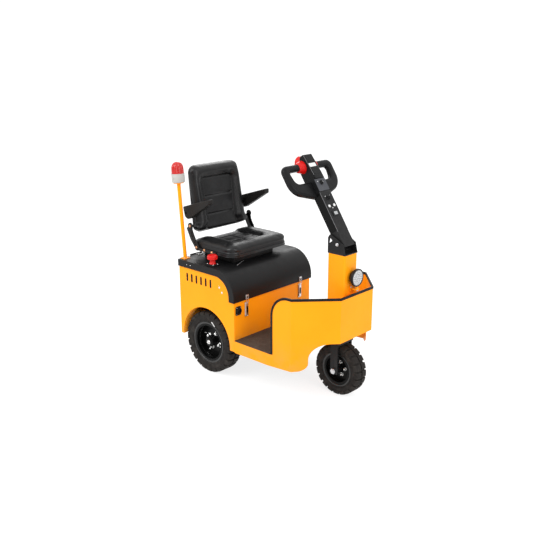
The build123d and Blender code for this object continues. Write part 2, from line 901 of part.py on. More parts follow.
# Back shell with the carrier that wraps round the back to the armrest pins
carrier_height = 40
carrier_thickness = 5
carrier_y = back_width / 2
pivot_out = -armrest_pivot_in
shell_inset = 5
shell_round = 9
carrier_depth = back_pad + back_shell
armrest_pivot = back_origin + back_up * armrest_pivot_up + back_out * pivot_out
armrest_inner = [carrier_y + armrest_gap, -carrier_y - armrest_gap - armrest_width]
with BuildPart() as seat_back_shell:
    with BuildSketch(back_plane.offset(-back_pad)):
        add(back_outline(shell_inset))
    extrude(amount=-back_shell)
    fillet(seat_back_shell.faces().sort_by(back_axis)[0].edges(), shell_round)
    with BuildSketch(back_plane.offset(-carrier_depth)):
        with Locations((0, armrest_pivot_up)):
            Rectangle(2 * carrier_y, carrier_height)
    extrude(amount=back_shell - shell_inset)
    with BuildSketch(back_plane.offset(-carrier_depth)):
        for side in (-1, 1):
            with Locations((side * (carrier_y - carrier_thickness / 2), armrest_pivot_up)):
                Rectangle(carrier_thickness, carrier_height)
    extrude(amount=carrier_depth + pivot_out + 2 * armrest_pin_radius)
    pin_length = armrest_gap + armrest_width - carrier_thickness
    for side in (-1, 1):
        pin_mid = armrest_pivot + Vector(0, side * (carrier_y + pin_length / 2), 0)
        with Locations(pin_mid):
            Cylinder(armrest_pin_radius, pin_length, rotation=(90, 0, 0))
save(seat_back_shell, "seat_back_shell")

# Side links that carry the back on the pan
link_width = 30
link_thickness = 6
link_bend = 26
link_foot_inset = 62
link_knee_back = 38
link_knee_drop = 36
link_head_up = 42
link_boss_radius = 8
link_boss_reach = 30
link_foot = (seat_rear_x + link_foot_inset, pan_bottom + pan_height / 2)
link_knee = (back_bottom_x - link_knee_back, back_bottom_z - link_knee_drop)
link_head_point = back_origin + back_up * link_head_up - back_out * (back_pad + back_shell / 2)
link_head = (link_head_point.X, link_head_point.Z)
link_y = seat_width / 2
with BuildPart() as seat_links:
    for side_plane in (Plane.XZ.offset(link_y), Plane.XZ.offset(-link_y - link_thickness)):
        with BuildSketch(side_plane):
            with BuildLine():
                FilletPolyline(link_foot, link_knee, link_head, radius=link_bend)
            trace(line_width=link_width)
        extrude(amount=link_thickness)
    boss_length = link_y - back_width / 2 + link_boss_reach
    for side in (-1, 1):
        with Locations((link_head[0], side * (link_y - boss_length / 2), link_head[1])):
            Cylinder(link_boss_radius, boss_length, rotation=(90, 0, 0))
    add(seat_back_shell.part, mode=Mode.SUBTRACT)
save(seat_links, "seat_links")


def build_armrest(inner_face):
    """Wedge-shaped armrest on its pin, from the inner face outwards."""
    x, z = armrest_pivot.X, armrest_pivot.Z
    with BuildPart() as armrest:
        with BuildSketch(Plane.XZ.offset(-inner_face)) as wedge:
            with BuildLine():
                Polyline(
                    (x - armrest_tail, z + armrest_rear_top),
                    (x + armrest_reach, z + armrest_tip_top),
                    (x + armrest_reach, z + armrest_tip_bottom),
                    (x - armrest_corner, z - armrest_rear_bottom),
                    close=True,
                )
            make_face()
            fillet(wedge.vertices().group_by(Axis.Y)[0], armrest_heel)
            fillet(wedge.vertices().group_by(Axis.Y)[-3:], armrest_corner)
        extrude(amount=-armrest_width)
        fillet(armrest.edges().filter_by(Axis.Y, reverse=True), armrest_corner)
        with Locations((x, inner_face + armrest_width / 2, z)):
            bore = armrest_pin_radius + pin_clearance
            Cylinder(bore, armrest_width, rotation=(90, 0, 0), mode=Mode.SUBTRACT)
    return armrest


for label, inner_face in zip(("armrest_left", "armrest_right"), armrest_inner):
    save(build_armrest(inner_face), label)

# Fork: stem through the column, thrust boss, crown and two legs
fork_inner_y = front_tyre_width / 2 + fork_gap
fork_outer_y = fork_inner_y + fork_leg
crown_bottom = 2 * front_tyre_radius + fork_headroom
crown_top = crown_bottom + fork_crown
stem_top = column_top + seat_gap
leg_bottom = front_tyre_radius - fork_leg_end
crown_length = 74
crown_corner = 8
thrust_radius = 36
with BuildPart() as fork:
    with BuildSketch(Plane.XY.offset(crown_bottom)):
        with Locations((steer_x, 0)):
            RectangleRounded(crown_length, 2 * fork_outer_y, crown_corner)
    extrude(amount=fork_crown)
    with BuildSketch(Plane.XY.offset(crown_top)):
        with Locations((steer_x, 0)):
            Circle(thrust_radius)
    extrude(amount=deck_top - sheet - seat_gap - crown_top)
    with BuildSketch(Plane.XY.offset(crown_top)):
        with Locations((steer_x, 0)):
            Circle(stem_radius)
    extrude(amount=stem_top - crown_top)
    for leg_plane in (Plane.XZ.offset(fork_inner_y), Plane.XZ.offset(-fork_outer_y)):
        with BuildSketch(leg_plane):
            with Locations((steer_x, (leg_bottom + crown_top) / 2)):
                Rectangle(fork_leg_width, crown_top - leg_bottom)
            with Locations((steer_x, front_tyre_radius)):
                Circle(axle_radius + pin_clearance, mode=Mode.SUBTRACT)
        extrude(amount=fork_leg)
save(fork, "fork")

nut_thickness = 10
nut_radius = 17
axle_proud = 3
with BuildPart() as front_axle:
    with Locations((steer_x, 0, front_tyre_radius)):
        Cylinder(axle_radius, 2 * (fork_outer_y + nut_thickness + axle_proud), rotation=(90, 0, 0))
    for nut_plane in (Plane.XZ.offset(fork_outer_y), Plane.XZ.offset(-fork_outer_y - nut_thickness)):
        with BuildSketch(nut_plane):
            with Locations((steer_x, front_tyre_radius)):
                RegularPolygon(nut_radius, 6)
        extrude(amount=nut_thickness)
save(front_axle, "front_axle")

# Tiller yoke on the stem, with the tilt pin across its cheeks and a three-cornered hole in each ear
ear_hole_edge = 9
ear_hole_drop = 3
ear_hole_run = 30
ear_hole_top = 15
cheek_inner_y = arm_width / 2 + yoke_gap
cheek_outer_y = cheek_inner_y + yoke_cheek
cheek_rear_x = column_x - yoke_length / 2
cheek_front_x = column_x + yoke_length / 2
with BuildPart() as tiller_yoke:
    with BuildSketch(Plane.XY.offset(stem_top)):
        with Locations((column_x, 0)):
            Rectangle(yoke_length, 2 * cheek_outer_y)
    extrude(amount=yoke_base)
    for cheek_plane in (Plane.XZ.offset(cheek_inner_y), Plane.XZ.offset(-cheek_outer_y)):
        with BuildSketch(cheek_plane) as cheek:
            with BuildLine():
                Polyline(
                    (cheek_rear_x, stem_top),
                    (cheek_rear_x, tilt_pivot_z + yoke_ear_side),
                    (cheek_rear_x + yoke_ear_run, tilt_pivot_z + yoke_ear),
                    (steer_x - yoke_crest_back, tilt_pivot_z + yoke_crest),
                    (cheek_front_x - yoke_shoulder, tilt_pivot_z),
                    (cheek_front_x, stem_top),
                    close=True,
                )
            make_face()
            fillet(cheek.vertices().group_by(Axis.Y)[1:], yoke_round)
            with BuildLine():
                Polyline(
                    (cheek_rear_x + ear_hole_edge, tilt_pivot_z - ear_hole_drop),
                    (cheek_rear_x + ear_hole_run, tilt_pivot_z + yoke_shoulder),
                    (cheek_rear_x + ear_hole_top, tilt_pivot_z + yoke_ear_side + ear_hole_drop),
                    close=True,
                )
            make_face(mode=Mode.SUBTRACT)
        extrude(amount=yoke_cheek)
    with Locations((steer_x, 0, tilt_pivot_z)):
        Cylinder(tilt_pin_radius, 2 * (cheek_outer_y + tilt_pin_proud), rotation=(90, 0, 0))
save(tiller_yoke, "tiller_yoke")

# Tiller planes: across the arm, and side view with (outward, along) axes
arm_lean = radians(tiller_lean)
arm_along = Vector(-sin(arm_lean), 0, cos(arm_lean))
arm_out = Vector(cos(arm_lean), 0, sin(arm_lean))
pivot = Vector(steer_x, 0, tilt_pivot_z)
across = Plane(origin=pivot, x_dir=(0, 1, 0), z_dir=arm_along)
side_view = Plane(origin=pivot, x_dir=arm_out, z_dir=(0, -1, 0))
front_view = Plane(origin=pivot, x_dir=(0, 1, 0), z_dir=arm_out)

with BuildPart() as tiller_arm:
    with BuildSketch(across.offset(-arm_tail)):
        RectangleRounded(arm_width, arm_depth, arm_corner)
        hollow_width = arm_width - 2 * arm_wall
        hollow_depth = arm_depth - 2 * arm_wall
        RectangleRounded(hollow_width, hollow_depth, arm_corner - arm_wall, mode=Mode.SUBTRACT)
    extrude(amount=arm_tail + arm_length)
    with Locations((steer_x, 0, tilt_pivot_z)):
        Cylinder(tilt_pin_radius + pin_clearance, 2 * arm_width, rotation=(90, 0, 0), mode=Mode.SUBTRACT)
save(tiller_arm, "tiller_arm")

# Control head: a base as wide as the arm, and a slimmer cover with a lip over the key switch
half_depth = arm_depth / 2
head_back = 21
head_slant = 40
head_lip_proud = 7
head_lip_height = 18
head_tip_front = 23
head_tip_back = 4
head_slope_foot = 470
head_round = 5
base_end = head_lip + head_lip_height / 2
with BuildPart() as tiller_head:
    with BuildSketch(side_view) as base_side:
        with BuildLine():
            Polyline(
                (half_depth, arm_length),
                (half_depth, base_end),
                (-half_depth - head_back, base_end),
                (-half_depth - head_back, arm_length + head_slant),
                (-half_depth, arm_length),
                close=True,
            )
        make_face()
    extrude(amount=arm_width / 2, both=True)
    with BuildSketch(side_view) as cover_side:
        with BuildLine():
            Polyline(
                (half_depth, head_lip),
                (half_depth + head_lip_proud, head_lip),
                (half_depth + head_lip_proud, head_lip + head_lip_height),
                (head_tip_front, head_tip),
                (-head_tip_back, head_tip),
                (-half_depth - head_back, head_slope_foot),
                (-half_depth - head_back, head_lip),
                close=True,
            )
        make_face()
        fillet(cover_side.vertices().group_by(Axis.Y)[1:], head_round)
    extrude(amount=head_width / 2, both=True)
save(tiller_head, "tiller_head")

# Red thumb wings beside the head, and the safety button on the slope that faces the driver
wing_half_depth = 32
wing_half_height = 38
wing_width = 42
wing_taper = 10
wing_round = 5
button_radius = 33
button_height = 42
button_sink = 6
button_round = 12
slope_foot = Vector(-half_depth - head_back, head_slope_foot)
slope_top = Vector(-head_tip_back, head_tip)
slope_mid = (slope_foot + slope_top) / 2
slope_run = (slope_top - slope_foot).normalized()
button_axis = arm_along * slope_run.X - arm_out * slope_run.Y
button_root = pivot + arm_out * slope_mid.X + arm_along * slope_mid.Y
button_plane = Plane(origin=button_root, x_dir=(0, 1, 0), z_dir=button_axis)
with BuildPart() as wing:
    with BuildSketch(side_view.offset(head_width / 2)):
        with Locations((-loop_setback, grip_distance)):
            Ellipse(wing_half_depth, wing_half_height)
    with BuildSketch(side_view.offset(head_width / 2 + wing_width)):
        with Locations((-loop_setback, grip_distance)):
            Ellipse(wing_half_depth - wing_taper, wing_half_height - wing_taper)
    loft()
    fillet(wing.edges().sort_by(Axis.Y)[0], wing_round)
with BuildPart() as tiller_switches:
    with BuildSketch(button_plane.offset(-button_sink)):
        Circle(button_radius)
    extrude(amount=button_sink + button_height)
    fillet(tiller_switches.edges().sort_by(Axis(button_root, button_axis))[-1], button_round)
    add(wing.part)
    mirror(wing.part, about=Plane.XZ)
    add(tiller_head.part, mode=Mode.SUBTRACT)
save(tiller_switches, "tiller_switches")

# Handle: moulded loop with a grip bar, two finger windows and a broad web
loop_thickness = 2 * grip_radius
loop_top = grip_distance + grip_radius
loop_half_width = grip_half_width + grip_radius
window_inner = head_width / 2 - window_lap
window_outer = grip_half_width - grip_radius
window_top = grip_distance - grip_radius
with BuildPart() as tiller_handle:
    with BuildSketch(front_view.offset(-loop_setback - grip_radius)) as loop_face:
        with BuildLine():
            Polyline(
                (-loop_half_width, loop_top),
                (-loop_half_width, loop_side),
                (-arm_width / 2, loop_bottom),
                (arm_width / 2, loop_bottom),
                (loop_half_width, loop_side),
                (loop_half_width, loop_top),
                close=True,
            )
        make_face()
        fillet(loop_face.vertices().group_by(Axis.Y)[-1], loop_top_corner)
        fillet(loop_face.vertices().group_by(Axis.Y)[1], loop_low_corner)
        for side in (-1, 1):
            with BuildLine():
                Polyline(
                    (side * window_inner, window_top),
                    (side * window_outer, window_top),
                    (side * window_foot, window_bottom),
                    (side * window_inner, window_bottom),
                    close=True,
                )
            make_face(mode=Mode.SUBTRACT)
        for side in (-1, 1):
            fillet(near(loop_face.vertices(), side * window_foot, window_bottom), window_low_corner)
            fillet(near(loop_face.vertices(), side * window_outer, window_top), window_corner)
    extrude(amount=loop_thickness)
    fillet(tiller_handle.edges().filter_by(Axis((0, 0, 0), arm_out), reverse=True), loop_round)
    add(tiller_head.part, mode=Mode.SUBTRACT)
    add(tiller_switches.part, mode=Mode.SUBTRACT)
    with BuildSketch(across):
        Rectangle(arm_width, arm_depth)
    extrude(amount=arm_length, mode=Mode.SUBTRACT)
save(tiller_handle, "tiller_handle")

# Key switch on the head's base; knob, push buttons and display on the arm's front face
key_rise = 50
knob_drop = 43
push_drop = 89
push_apart = 42
display_drop = 135
display_width = 42
display_height = 28
display_corner = 3
knob_radius = 10
knob_height = 12
push_radius = 6
push_height = 4
with BuildPart() as tiller_controls:
    with BuildSketch(front_view.offset(half_depth)):
        with Locations((0, arm_length + key_rise), (0, arm_length - knob_drop)):
            Circle(knob_radius)
    extrude(amount=knob_height)
    with BuildSketch(front_view.offset(half_depth)):
        with Locations((-push_apart / 2, arm_length - push_drop), (push_apart / 2, arm_length - push_drop)):
            Circle(push_radius)
        with Locations((0, arm_length - display_drop)):
            RectangleRounded(display_width, display_height, display_corner)
    extrude(amount=push_height)
save(tiller_controls, "tiller_controls")


def build_tyre(axle_x, mid_y, radius, width, rim_radius, bead_half, lug_count, label):
    """Tyre carcass with lugs that wrap over both shoulders, split by a groove round the middle."""
    pitch = 360 / lug_count
    lug_length = lug_share * 2 * pi * radius / lug_count
    crown = radius - lug_height
    wall_half = width / 2 - lug_proud
    crown_half = wall_half - shoulder_run
    wall_top = crown - shoulder_drop
    middle = Plane(origin=(axle_x, mid_y, radius), x_dir=(0, 0, -1), z_dir=(0, 1, 0))
    half_pitch = pitch / 2
    with BuildPart() as lug:
        with BuildSketch(Plane.YZ):
            with BuildLine():
                Polyline(
                    (lug_groove / 2, crown - lug_proud),
                    (lug_groove / 2, radius),
                    (width / 2 - shoulder_run, radius),
                    (width / 2, radius - shoulder_drop),
                    (width / 2, radius - shoulder_drop - lug_skirt),
                    (crown_half, wall_top - lug_skirt),
                    close=True,
                )
            make_face()
        extrude(amount=lug_length / 2, both=True)
        mirror(lug.part, about=Plane.XZ)
    with BuildPart() as tyre:
        with BuildSketch(middle.offset(-crown_half)):
            RegularPolygon(crown, lug_count, major_radius=False, rotation=half_pitch)
        extrude(amount=2 * crown_half)
        for side in (-1, 1):
            with BuildSketch(middle.offset(side * crown_half)):
                RegularPolygon(crown, lug_count, major_radius=False, rotation=half_pitch)
            with BuildSketch(middle.offset(side * wall_half)):
                RegularPolygon(wall_top, lug_count, major_radius=False, rotation=half_pitch)
            loft(ruled=True)
        places = [Location((axle_x, mid_y, radius), (0, 180 + i * pitch, 0)) for i in range(lug_count)]
        with Locations(*places):
            add(lug.part)
        with BuildSketch(middle.offset(-bead_half)):
            RegularPolygon(rim_radius, lug_count, major_radius=False, rotation=half_pitch)
        extrude(amount=2 * bead_half, mode=Mode.SUBTRACT)
        for side in (-1, 1):
            with BuildSketch(middle.offset(side * bead_half)):
                RegularPolygon(rim_radius + flange_room, lug_count, major_radius=False, rotation=half_pitch)
            with BuildSketch(middle.offset(side * width / 2)):
                RegularPolygon(rim_radius + wall_rise, lug_count, major_radius=False, rotation=half_pitch)
            loft(ruled=True, mode=Mode.SUBTRACT)
    save(tyre, label)


def build_rim(axle_x, mid_y, axle_z, rim_radius, bead_half, bore, hub_half, dish, label):
    """Rim barrel with flanges, a dished disc with a raised bolt face and a bored hub."""
    section = Plane(origin=(axle_x, mid_y, axle_z), x_dir=(0, 1, 0), z_dir=(1, 0, 0))
    barrel_outer = rim_radius - pin_clearance
    barrel_inner = barrel_outer - rim_wall
    hub_radius = bore + hub_wall
    bolt_face = rim_radius * bolt_face_share
    with BuildPart() as rim:
        with BuildSketch(section):
            with Locations((0, barrel_outer - rim_wall / 2)):
                Rectangle(2 * bead_half, rim_wall)
            with Locations((-bead_half - flange / 2, rim_radius), (bead_half + flange / 2, rim_radius)):
                Rectangle(flange, 2 * flange_height)
            with Locations((dish, (bore + barrel_inner) / 2)):
                Rectangle(disc_thickness, barrel_inner - bore)
            with Locations((dish, (bore + bolt_face) / 2)):
                Rectangle(2 * disc_thickness, bolt_face - bore)
            with Locations((0, (bore + hub_radius) / 2)):
                Rectangle(2 * hub_half, hub_radius - bore)
        revolve(axis=Axis((axle_x, mid_y, axle_z), (0, 1, 0)))
    save(rim, label)


# Wheels: two driven at the back, one steered at the front
rear_hub = 38
rear_dish = 14
rear_bore = shaft_radius + pin_clearance
for label, side in (("right", -1), ("left", 1)):
    build_tyre(
        rear_axle_x, side * rear_wheel_y, rear_tyre_radius, rear_tyre_width,
        rear_rim_radius, rear_bead, rear_lugs, "rear_tyre_" + label,
    )
    build_rim(
        rear_axle_x, side * rear_wheel_y, rear_tyre_radius, rear_rim_radius,
        rear_bead, rear_bore, rear_hub, -side * rear_dish, "rear_rim_" + label,
    )
build_tyre(
    steer_x, 0, front_tyre_radius, front_tyre_width, front_rim_radius, front_bead, front_lugs, "front_tyre",
)
build_rim(
    steer_x, 0, front_tyre_radius, front_rim_radius,
    front_bead, axle_radius + pin_clearance, front_tyre_width / 2, 0, "front_rim",
)
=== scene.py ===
import math

import bmesh
import bpy
from mathutils import Matrix, Vector, noise


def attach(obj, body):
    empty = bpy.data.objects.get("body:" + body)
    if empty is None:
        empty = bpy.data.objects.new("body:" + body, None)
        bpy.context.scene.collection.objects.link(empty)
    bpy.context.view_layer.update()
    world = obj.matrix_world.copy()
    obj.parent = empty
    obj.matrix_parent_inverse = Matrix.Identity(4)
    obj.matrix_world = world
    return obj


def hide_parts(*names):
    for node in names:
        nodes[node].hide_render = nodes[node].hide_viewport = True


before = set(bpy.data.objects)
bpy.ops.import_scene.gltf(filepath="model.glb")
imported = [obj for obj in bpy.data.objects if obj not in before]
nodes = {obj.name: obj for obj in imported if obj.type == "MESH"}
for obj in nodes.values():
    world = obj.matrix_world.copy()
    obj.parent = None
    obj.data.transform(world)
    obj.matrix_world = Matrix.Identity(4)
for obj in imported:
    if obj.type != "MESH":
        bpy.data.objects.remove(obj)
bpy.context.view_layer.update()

# Places are in millimetres, in the CAD frame, and pieces are scaled to metres when they are made.
MM = 0.001
# The tug's right side is at -Y and its left side at +Y.
SIDES = (-1, 1)
FORWARD, REARWARD, UPWARD, DOWNWARD = (1, 0, 0), (-1, 0, 0), (0, 0, 1), (0, 0, -1)
ACROSS = Vector((0, 1, 0))
# Edges that turn by more degrees than this stay sharp, and bevels round them.
SHARP = 32
# Points closer than this are one point.
WELD = 0.02
WHITE = (1, 1, 1, 1)
RANGE_SOCKETS = ("From Min", "From Max", "To Min", "To Max")


# Materials
class Finish:
    """A material made of one shader, object coordinates and the nodes that vary it."""

    def __init__(self, name, colour, **values):
        self.material = bpy.data.materials.new(name)
        self.material.use_nodes = True
        self.tree = self.material.node_tree
        self.shader = self.tree.nodes["Principled BSDF"]
        self.coords = self.tree.nodes.new("ShaderNodeTexCoord").outputs["Object"]
        self.normal = None
        self.colour = colour
        self.shader.inputs["Base Color"].default_value = (*colour, 1)
        for socket, value in values.items():
            self.shader.inputs[socket.replace("_", " ")].default_value = value

    def node(self, kind, **settings):
        node = self.tree.nodes.new(kind)
        for key, value in settings.items():
            setattr(node, key, value)
        return node

    def join(self, source, target):
        self.tree.links.new(source, target)

    def place(self, stretch):
        """Coordinates scaled differently along each axis."""
        mapping = self.node("ShaderNodeMapping")
        mapping.inputs["Scale"].default_value = stretch
        self.join(self.coords, mapping.inputs["Vector"])
        return mapping.outputs["Vector"]

    def noise(self, scale, detail=3.0, stretch=None):
        node = self.node("ShaderNodeTexNoise")
        for name, number in (("Scale", scale), ("Detail", detail), ("Roughness", 0.55)):
            node.inputs[name].default_value = number
        self.join(self.place(stretch) if stretch else self.coords, node.inputs["Vector"])
        return node.outputs["Fac"]

    def cells(self, scale, feature="DISTANCE_TO_EDGE"):
        node = self.node("ShaderNodeTexVoronoi", feature=feature)
        node.inputs["Scale"].default_value = scale
        self.join(self.coords, node.inputs["Vector"])
        return node.outputs["Distance"]

    def span(self, value, low, high, new_low=0.0, new_high=1.0):
        """Maps a range of values smoothly to another."""
        node = self.node("ShaderNodeMapRange", interpolation_type="SMOOTHSTEP")
        for name, number in zip(RANGE_SOCKETS, (low, high, new_low, new_high)):
            node.inputs[name].default_value = number
        self.join(value, node.inputs["Value"])
        return node.outputs["Result"]

    def times(self, a, b):
        node = self.node("ShaderNodeMath", operation="MULTIPLY")
        self.join(a, node.inputs[0])
        self.join(b, node.inputs[1])
        return node.outputs[0]

    def tint(self, value, other):
        """Mixes another colour into what the surface already has."""
        node = self.node("ShaderNodeMix", data_type="RGBA")
        base = self.shader.inputs["Base Color"]
        if base.is_linked:
            self.join(base.links[0].from_socket, node.inputs["A"])
        else:
            node.inputs["A"].default_value = (*self.colour, 1)
        node.inputs["B"].default_value = (*other, 1)
        self.join(value, node.inputs["Factor"])
        self.join(node.outputs["Result"], base)
        return self

    def blotch(self, scale, detail, low, high, share, other):
        """Patches of another colour, up to a share, where the noise is high."""
        return self.tint(self.span(self.noise(scale, detail), low, high, 0, share), other)

    def gloss(self, value, low, high):
        """Roughness that varies between two numbers."""
        self.join(self.span(value, 0.3, 0.7, low, high), self.shader.inputs["Roughness"])
        return self

    def bump(self, height, distance):
        """Relief in millimetres, on top of the relief so far."""
        node = self.node("ShaderNodeBump")
        node.inputs["Distance"].default_value = distance * MM
        node.inputs["Strength"].default_value = 1.0
        self.join(height, node.inputs["Height"])
        if self.normal:
            self.join(self.normal, node.inputs["Normal"])
        self.normal = node.outputs["Normal"]
        self.join(self.normal, self.shader.inputs["Normal"])
        return self

    def edges(self, low, high, other):
        """Lighter, worn edges, broken up by noise."""
        point = self.node("ShaderNodeNewGeometry").outputs["Pointiness"]
        mask = self.times(self.span(point, low, high), self.span(self.noise(60, 4), 0.4, 0.62))
        return self.tint(mask, other)

    def dust(self, low, high, other, share):
        """Dust that settles below a height, thinning out upwards."""
        axes = self.node("ShaderNodeSeparateXYZ")
        self.join(self.coords, axes.inputs["Vector"])
        fade = self.span(axes.outputs["Z"], low * MM, high * MM, share, 0.0)
        return self.tint(self.times(fade, self.span(self.noise(14, 5), 0.3, 0.7)), other)


def paint(name, colour, deep, rough, sheen, peel):
    """Sprayed paint with an orange-peel surface and a slow drift in tone."""
    finish = Finish(name, colour, Coat_Weight=0.3 * sheen, Coat_Roughness=0.16, Specular_IOR_Level=sheen)
    finish.blotch(3.2, 4, 0.35, 0.7, 0.55, deep)
    finish.blotch(170, 2, 0.62, 0.74, 0.25, deep)
    finish.gloss(finish.noise(26, 4), rough - 0.05, rough + 0.07)
    finish.bump(finish.noise(330, 2), peel).bump(finish.noise(7, 2), 0.35)
    return finish


def moulded(name, colour, light, rough, grain, sheen=0.2):
    """Moulded plastic with a fine spark-eroded grain."""
    finish = Finish(name, colour, Specular_IOR_Level=sheen)
    finish.blotch(9, 4, 0.4, 0.75, 0.5, light)
    finish.gloss(finish.noise(40, 3), rough - 0.05, rough + 0.08)
    finish.bump(finish.noise(1500, 2), grain).bump(finish.cells(900), grain * 0.6)
    return finish.material


def plated(name, colour, rough, streak):
    """Bright plate with fine streaks and a few dull spots."""
    finish = Finish(name, colour, Metallic=1.0)
    finish.blotch(55, 4, 0.5, 0.75, 0.6, tuple(0.7 * c for c in colour))
    finish.gloss(finish.noise(70, 4, stretch=(1, 1, 6)), rough - 0.08, rough + 0.12)
    finish.bump(finish.noise(900, 2, stretch=(1, 1, 0.15)), streak)
    return finish.material


def rubber(name, colour, bloom, rough, grain):
    """Rubber with a dull bloom in patches."""
    finish = Finish(name, colour, Specular_IOR_Level=0.14)
    finish.blotch(24, 5, 0.45, 0.75, 0.75, bloom)
    finish.gloss(finish.noise(30, 4), rough - 0.08, rough + 0.08)
    finish.bump(finish.noise(700, 3), grain).bump(finish.noise(60, 3), grain * 2)
    return finish


yellow_finish = paint("yellow_paint", (0.94, 0.322, 0.005), (0.89, 0.283, 0.0025), 0.38, 0.1, 0.05)
yellow = yellow_finish.dust(190, 420, (0.5, 0.3, 0.12), 0.22).material
hood_black = paint("hood_paint", (0.006, 0.006, 0.0063), (0.01, 0.01, 0.0105), 0.4, 0.14, 0.09).material
satin_finish = paint("black_paint", (0.0075, 0.0072, 0.0075), (0.013, 0.013, 0.0135), 0.42, 0.16, 0.08)
satin_black = satin_finish.edges(0.53, 0.6, (0.05, 0.049, 0.048)).material
# Deep black: the rims' own colour, and painted shade on the seat pan, vent slots, latch levers and, in part,
# the arm's sides
black_rims_and_painted_shade = paint("black_rims_and_painted_shade", (0.003, 0.003, 0.003), (0.006, 0.006, 0.006), 0.3, 0.08, 0.05).material
rim_gloss = paint("rim_gloss", (0.0035, 0.0035, 0.0035), (0.006, 0.006, 0.006), 0.22, 0.45, 0.04).material
steel = plated("bright_steel", (0.62, 0.62, 0.63), 0.26, 0.02)
zinc = plated("nut_zinc", (0.74, 0.74, 0.73), 0.22, 0.02)
copper = plated("bolt_copper", (0.62, 0.33, 0.18), 0.3, 0.03)
mat_finish = rubber("mat_rubber", (0.05, 0.034, 0.025), (0.085, 0.062, 0.047), 0.8, 0.12)
mat_finish.blotch(420, 2, 0.55, 0.7, 0.6, (0.12, 0.095, 0.078))
mat_rubber = mat_finish.bump(mat_finish.cells(300, "F1"), 0.4).material
edge_rubber = rubber("edge_rubber", (0.007, 0.007, 0.0075), (0.014, 0.014, 0.015), 0.55, 0.06).material
tyre_finish = rubber("tyre_rubber", (0.015, 0.013, 0.0118), (0.04, 0.035, 0.03), 0.74, 0.12)
tyre_rubber = tyre_finish.edges(0.52, 0.6, (0.05, 0.044, 0.038)).material
dark_plastic = moulded("dark_plastic", (0.007, 0.007, 0.0075), (0.013, 0.013, 0.014), 0.44, 0.05)
arm_plastic = moulded("arm_plastic", (0.0074, 0.0066, 0.006), (0.0138, 0.012, 0.011), 0.48, 0.09)
head_plastic = moulded("head_plastic", (0.0062, 0.0062, 0.0068), (0.011, 0.011, 0.012), 0.38, 0.06, 0.14)
red_plastic = moulded("red_plastic", (0.52, 0.0045, 0.003), (0.58, 0.009, 0.006), 0.32, 0.02, 0.25)
grey_plastic = moulded("grey_plastic", (0.42, 0.41, 0.39), (0.47, 0.46, 0.44), 0.42, 0.04)
plate_grey = moulded("panel_grey", (0.05, 0.052, 0.06), (0.07, 0.072, 0.08), 0.38, 0.03)
# Pale grey of the strips that paint highlights along the tiller's edges
painted_edge_highlight = moulded("painted_edge_highlight", (0.13, 0.13, 0.135), (0.17, 0.17, 0.175), 0.4, 0.03)
lamp_back = moulded("lamp_back", (0.3, 0.3, 0.3), (0.42, 0.42, 0.42), 0.3, 0.03)
white_plate = moulded("blank_white", (0.66, 0.66, 0.65), (0.6, 0.6, 0.59), 0.35, 0.02)
display = Finish("display_glass", (0.3, 0.31, 0.31), Coat_Weight=1.0, Coat_Roughness=0.04)
display_glass = display.gloss(display.noise(50), 0.08, 0.16).material
lens = Finish("red_lens", (0.46, 0.006, 0.004), Coat_Weight=0.12, Coat_Roughness=0.06)
lens.shader.inputs["Transmission Weight"].default_value = 0.08
lens.blotch(120, 3, 0.4, 0.7, 0.5, (0.52, 0.014, 0.008)).gloss(lens.noise(90), 0.1, 0.2)
red_lens = lens.bump(lens.noise(260, 2), 0.12).material
lamp = Finish("lamp_glass", (0.6, 0.6, 0.6), Coat_Weight=0.6, Coat_Roughness=0.03, Transmission_Weight=0.1)
lamp.blotch(200, 3, 0.4, 0.7, 0.6, (0.53, 0.55, 0.57))
lamp_glass = lamp.gloss(lamp.noise(120), 0.06, 0.16).material
leather = Finish("seat_leather", (0.0048, 0.0048, 0.0052), Coat_Weight=0.03, Coat_Roughness=0.2)
leather.shader.inputs["Specular IOR Level"].default_value = 0.28
leather.blotch(11, 5, 0.42, 0.75, 0.7, (0.015, 0.015, 0.016))
leather.gloss(leather.noise(35, 5), 0.28, 0.39)
leather.bump(leather.cells(420), 0.03).bump(leather.cells(1100), 0.015).bump(leather.noise(30, 3), 0.2)
seat_leather = leather.material


# CAD pieces that stay: their finishes and rounded edges
def shade_group():
    """Geometry nodes that smooth a mesh except across its sharp edges."""
    group = bpy.data.node_groups.new("shade_by_angle", "GeometryNodeTree")
    for direction in ("INPUT", "OUTPUT"):
        group.interface.new_socket("Geometry", in_out=direction, socket_type="NodeSocketGeometry")
    add, link = group.nodes.new, group.links.new
    start, end = add("NodeGroupInput"), add("NodeGroupOutput")
    drop = add("GeometryNodeRemoveAttribute")
    drop.inputs["Name"].default_value = "custom_normal"
    faces, edges = add("GeometryNodeSetShadeSmooth"), add("GeometryNodeSetShadeSmooth")
    edges.domain = "EDGE"
    edges.inputs["Shade Smooth"].default_value = False
    angle, sharp = add("GeometryNodeInputMeshEdgeAngle"), add("FunctionNodeCompare")
    sharp.inputs["B"].default_value = math.radians(SHARP)
    link(start.outputs[0], drop.inputs["Geometry"])
    link(drop.outputs["Geometry"], faces.inputs["Geometry"])
    link(faces.outputs["Geometry"], edges.inputs["Geometry"])
    link(angle.outputs["Unsigned Angle"], sharp.inputs["A"])
    link(sharp.outputs["Result"], edges.inputs["Selection"])
    link(edges.outputs["Geometry"], end.inputs[0])
    return group


shading = shade_group()


def add_bevel(obj, width):
    bevel = obj.modifiers.new("edges", "BEVEL")
    bevel.width = width * MM
    bevel.segments = 2
    bevel.limit_method = "ANGLE"
    bevel.angle_limit = math.radians(SHARP)
    bevel.harden_normals = True
    bevel.use_clamp_overlap = False


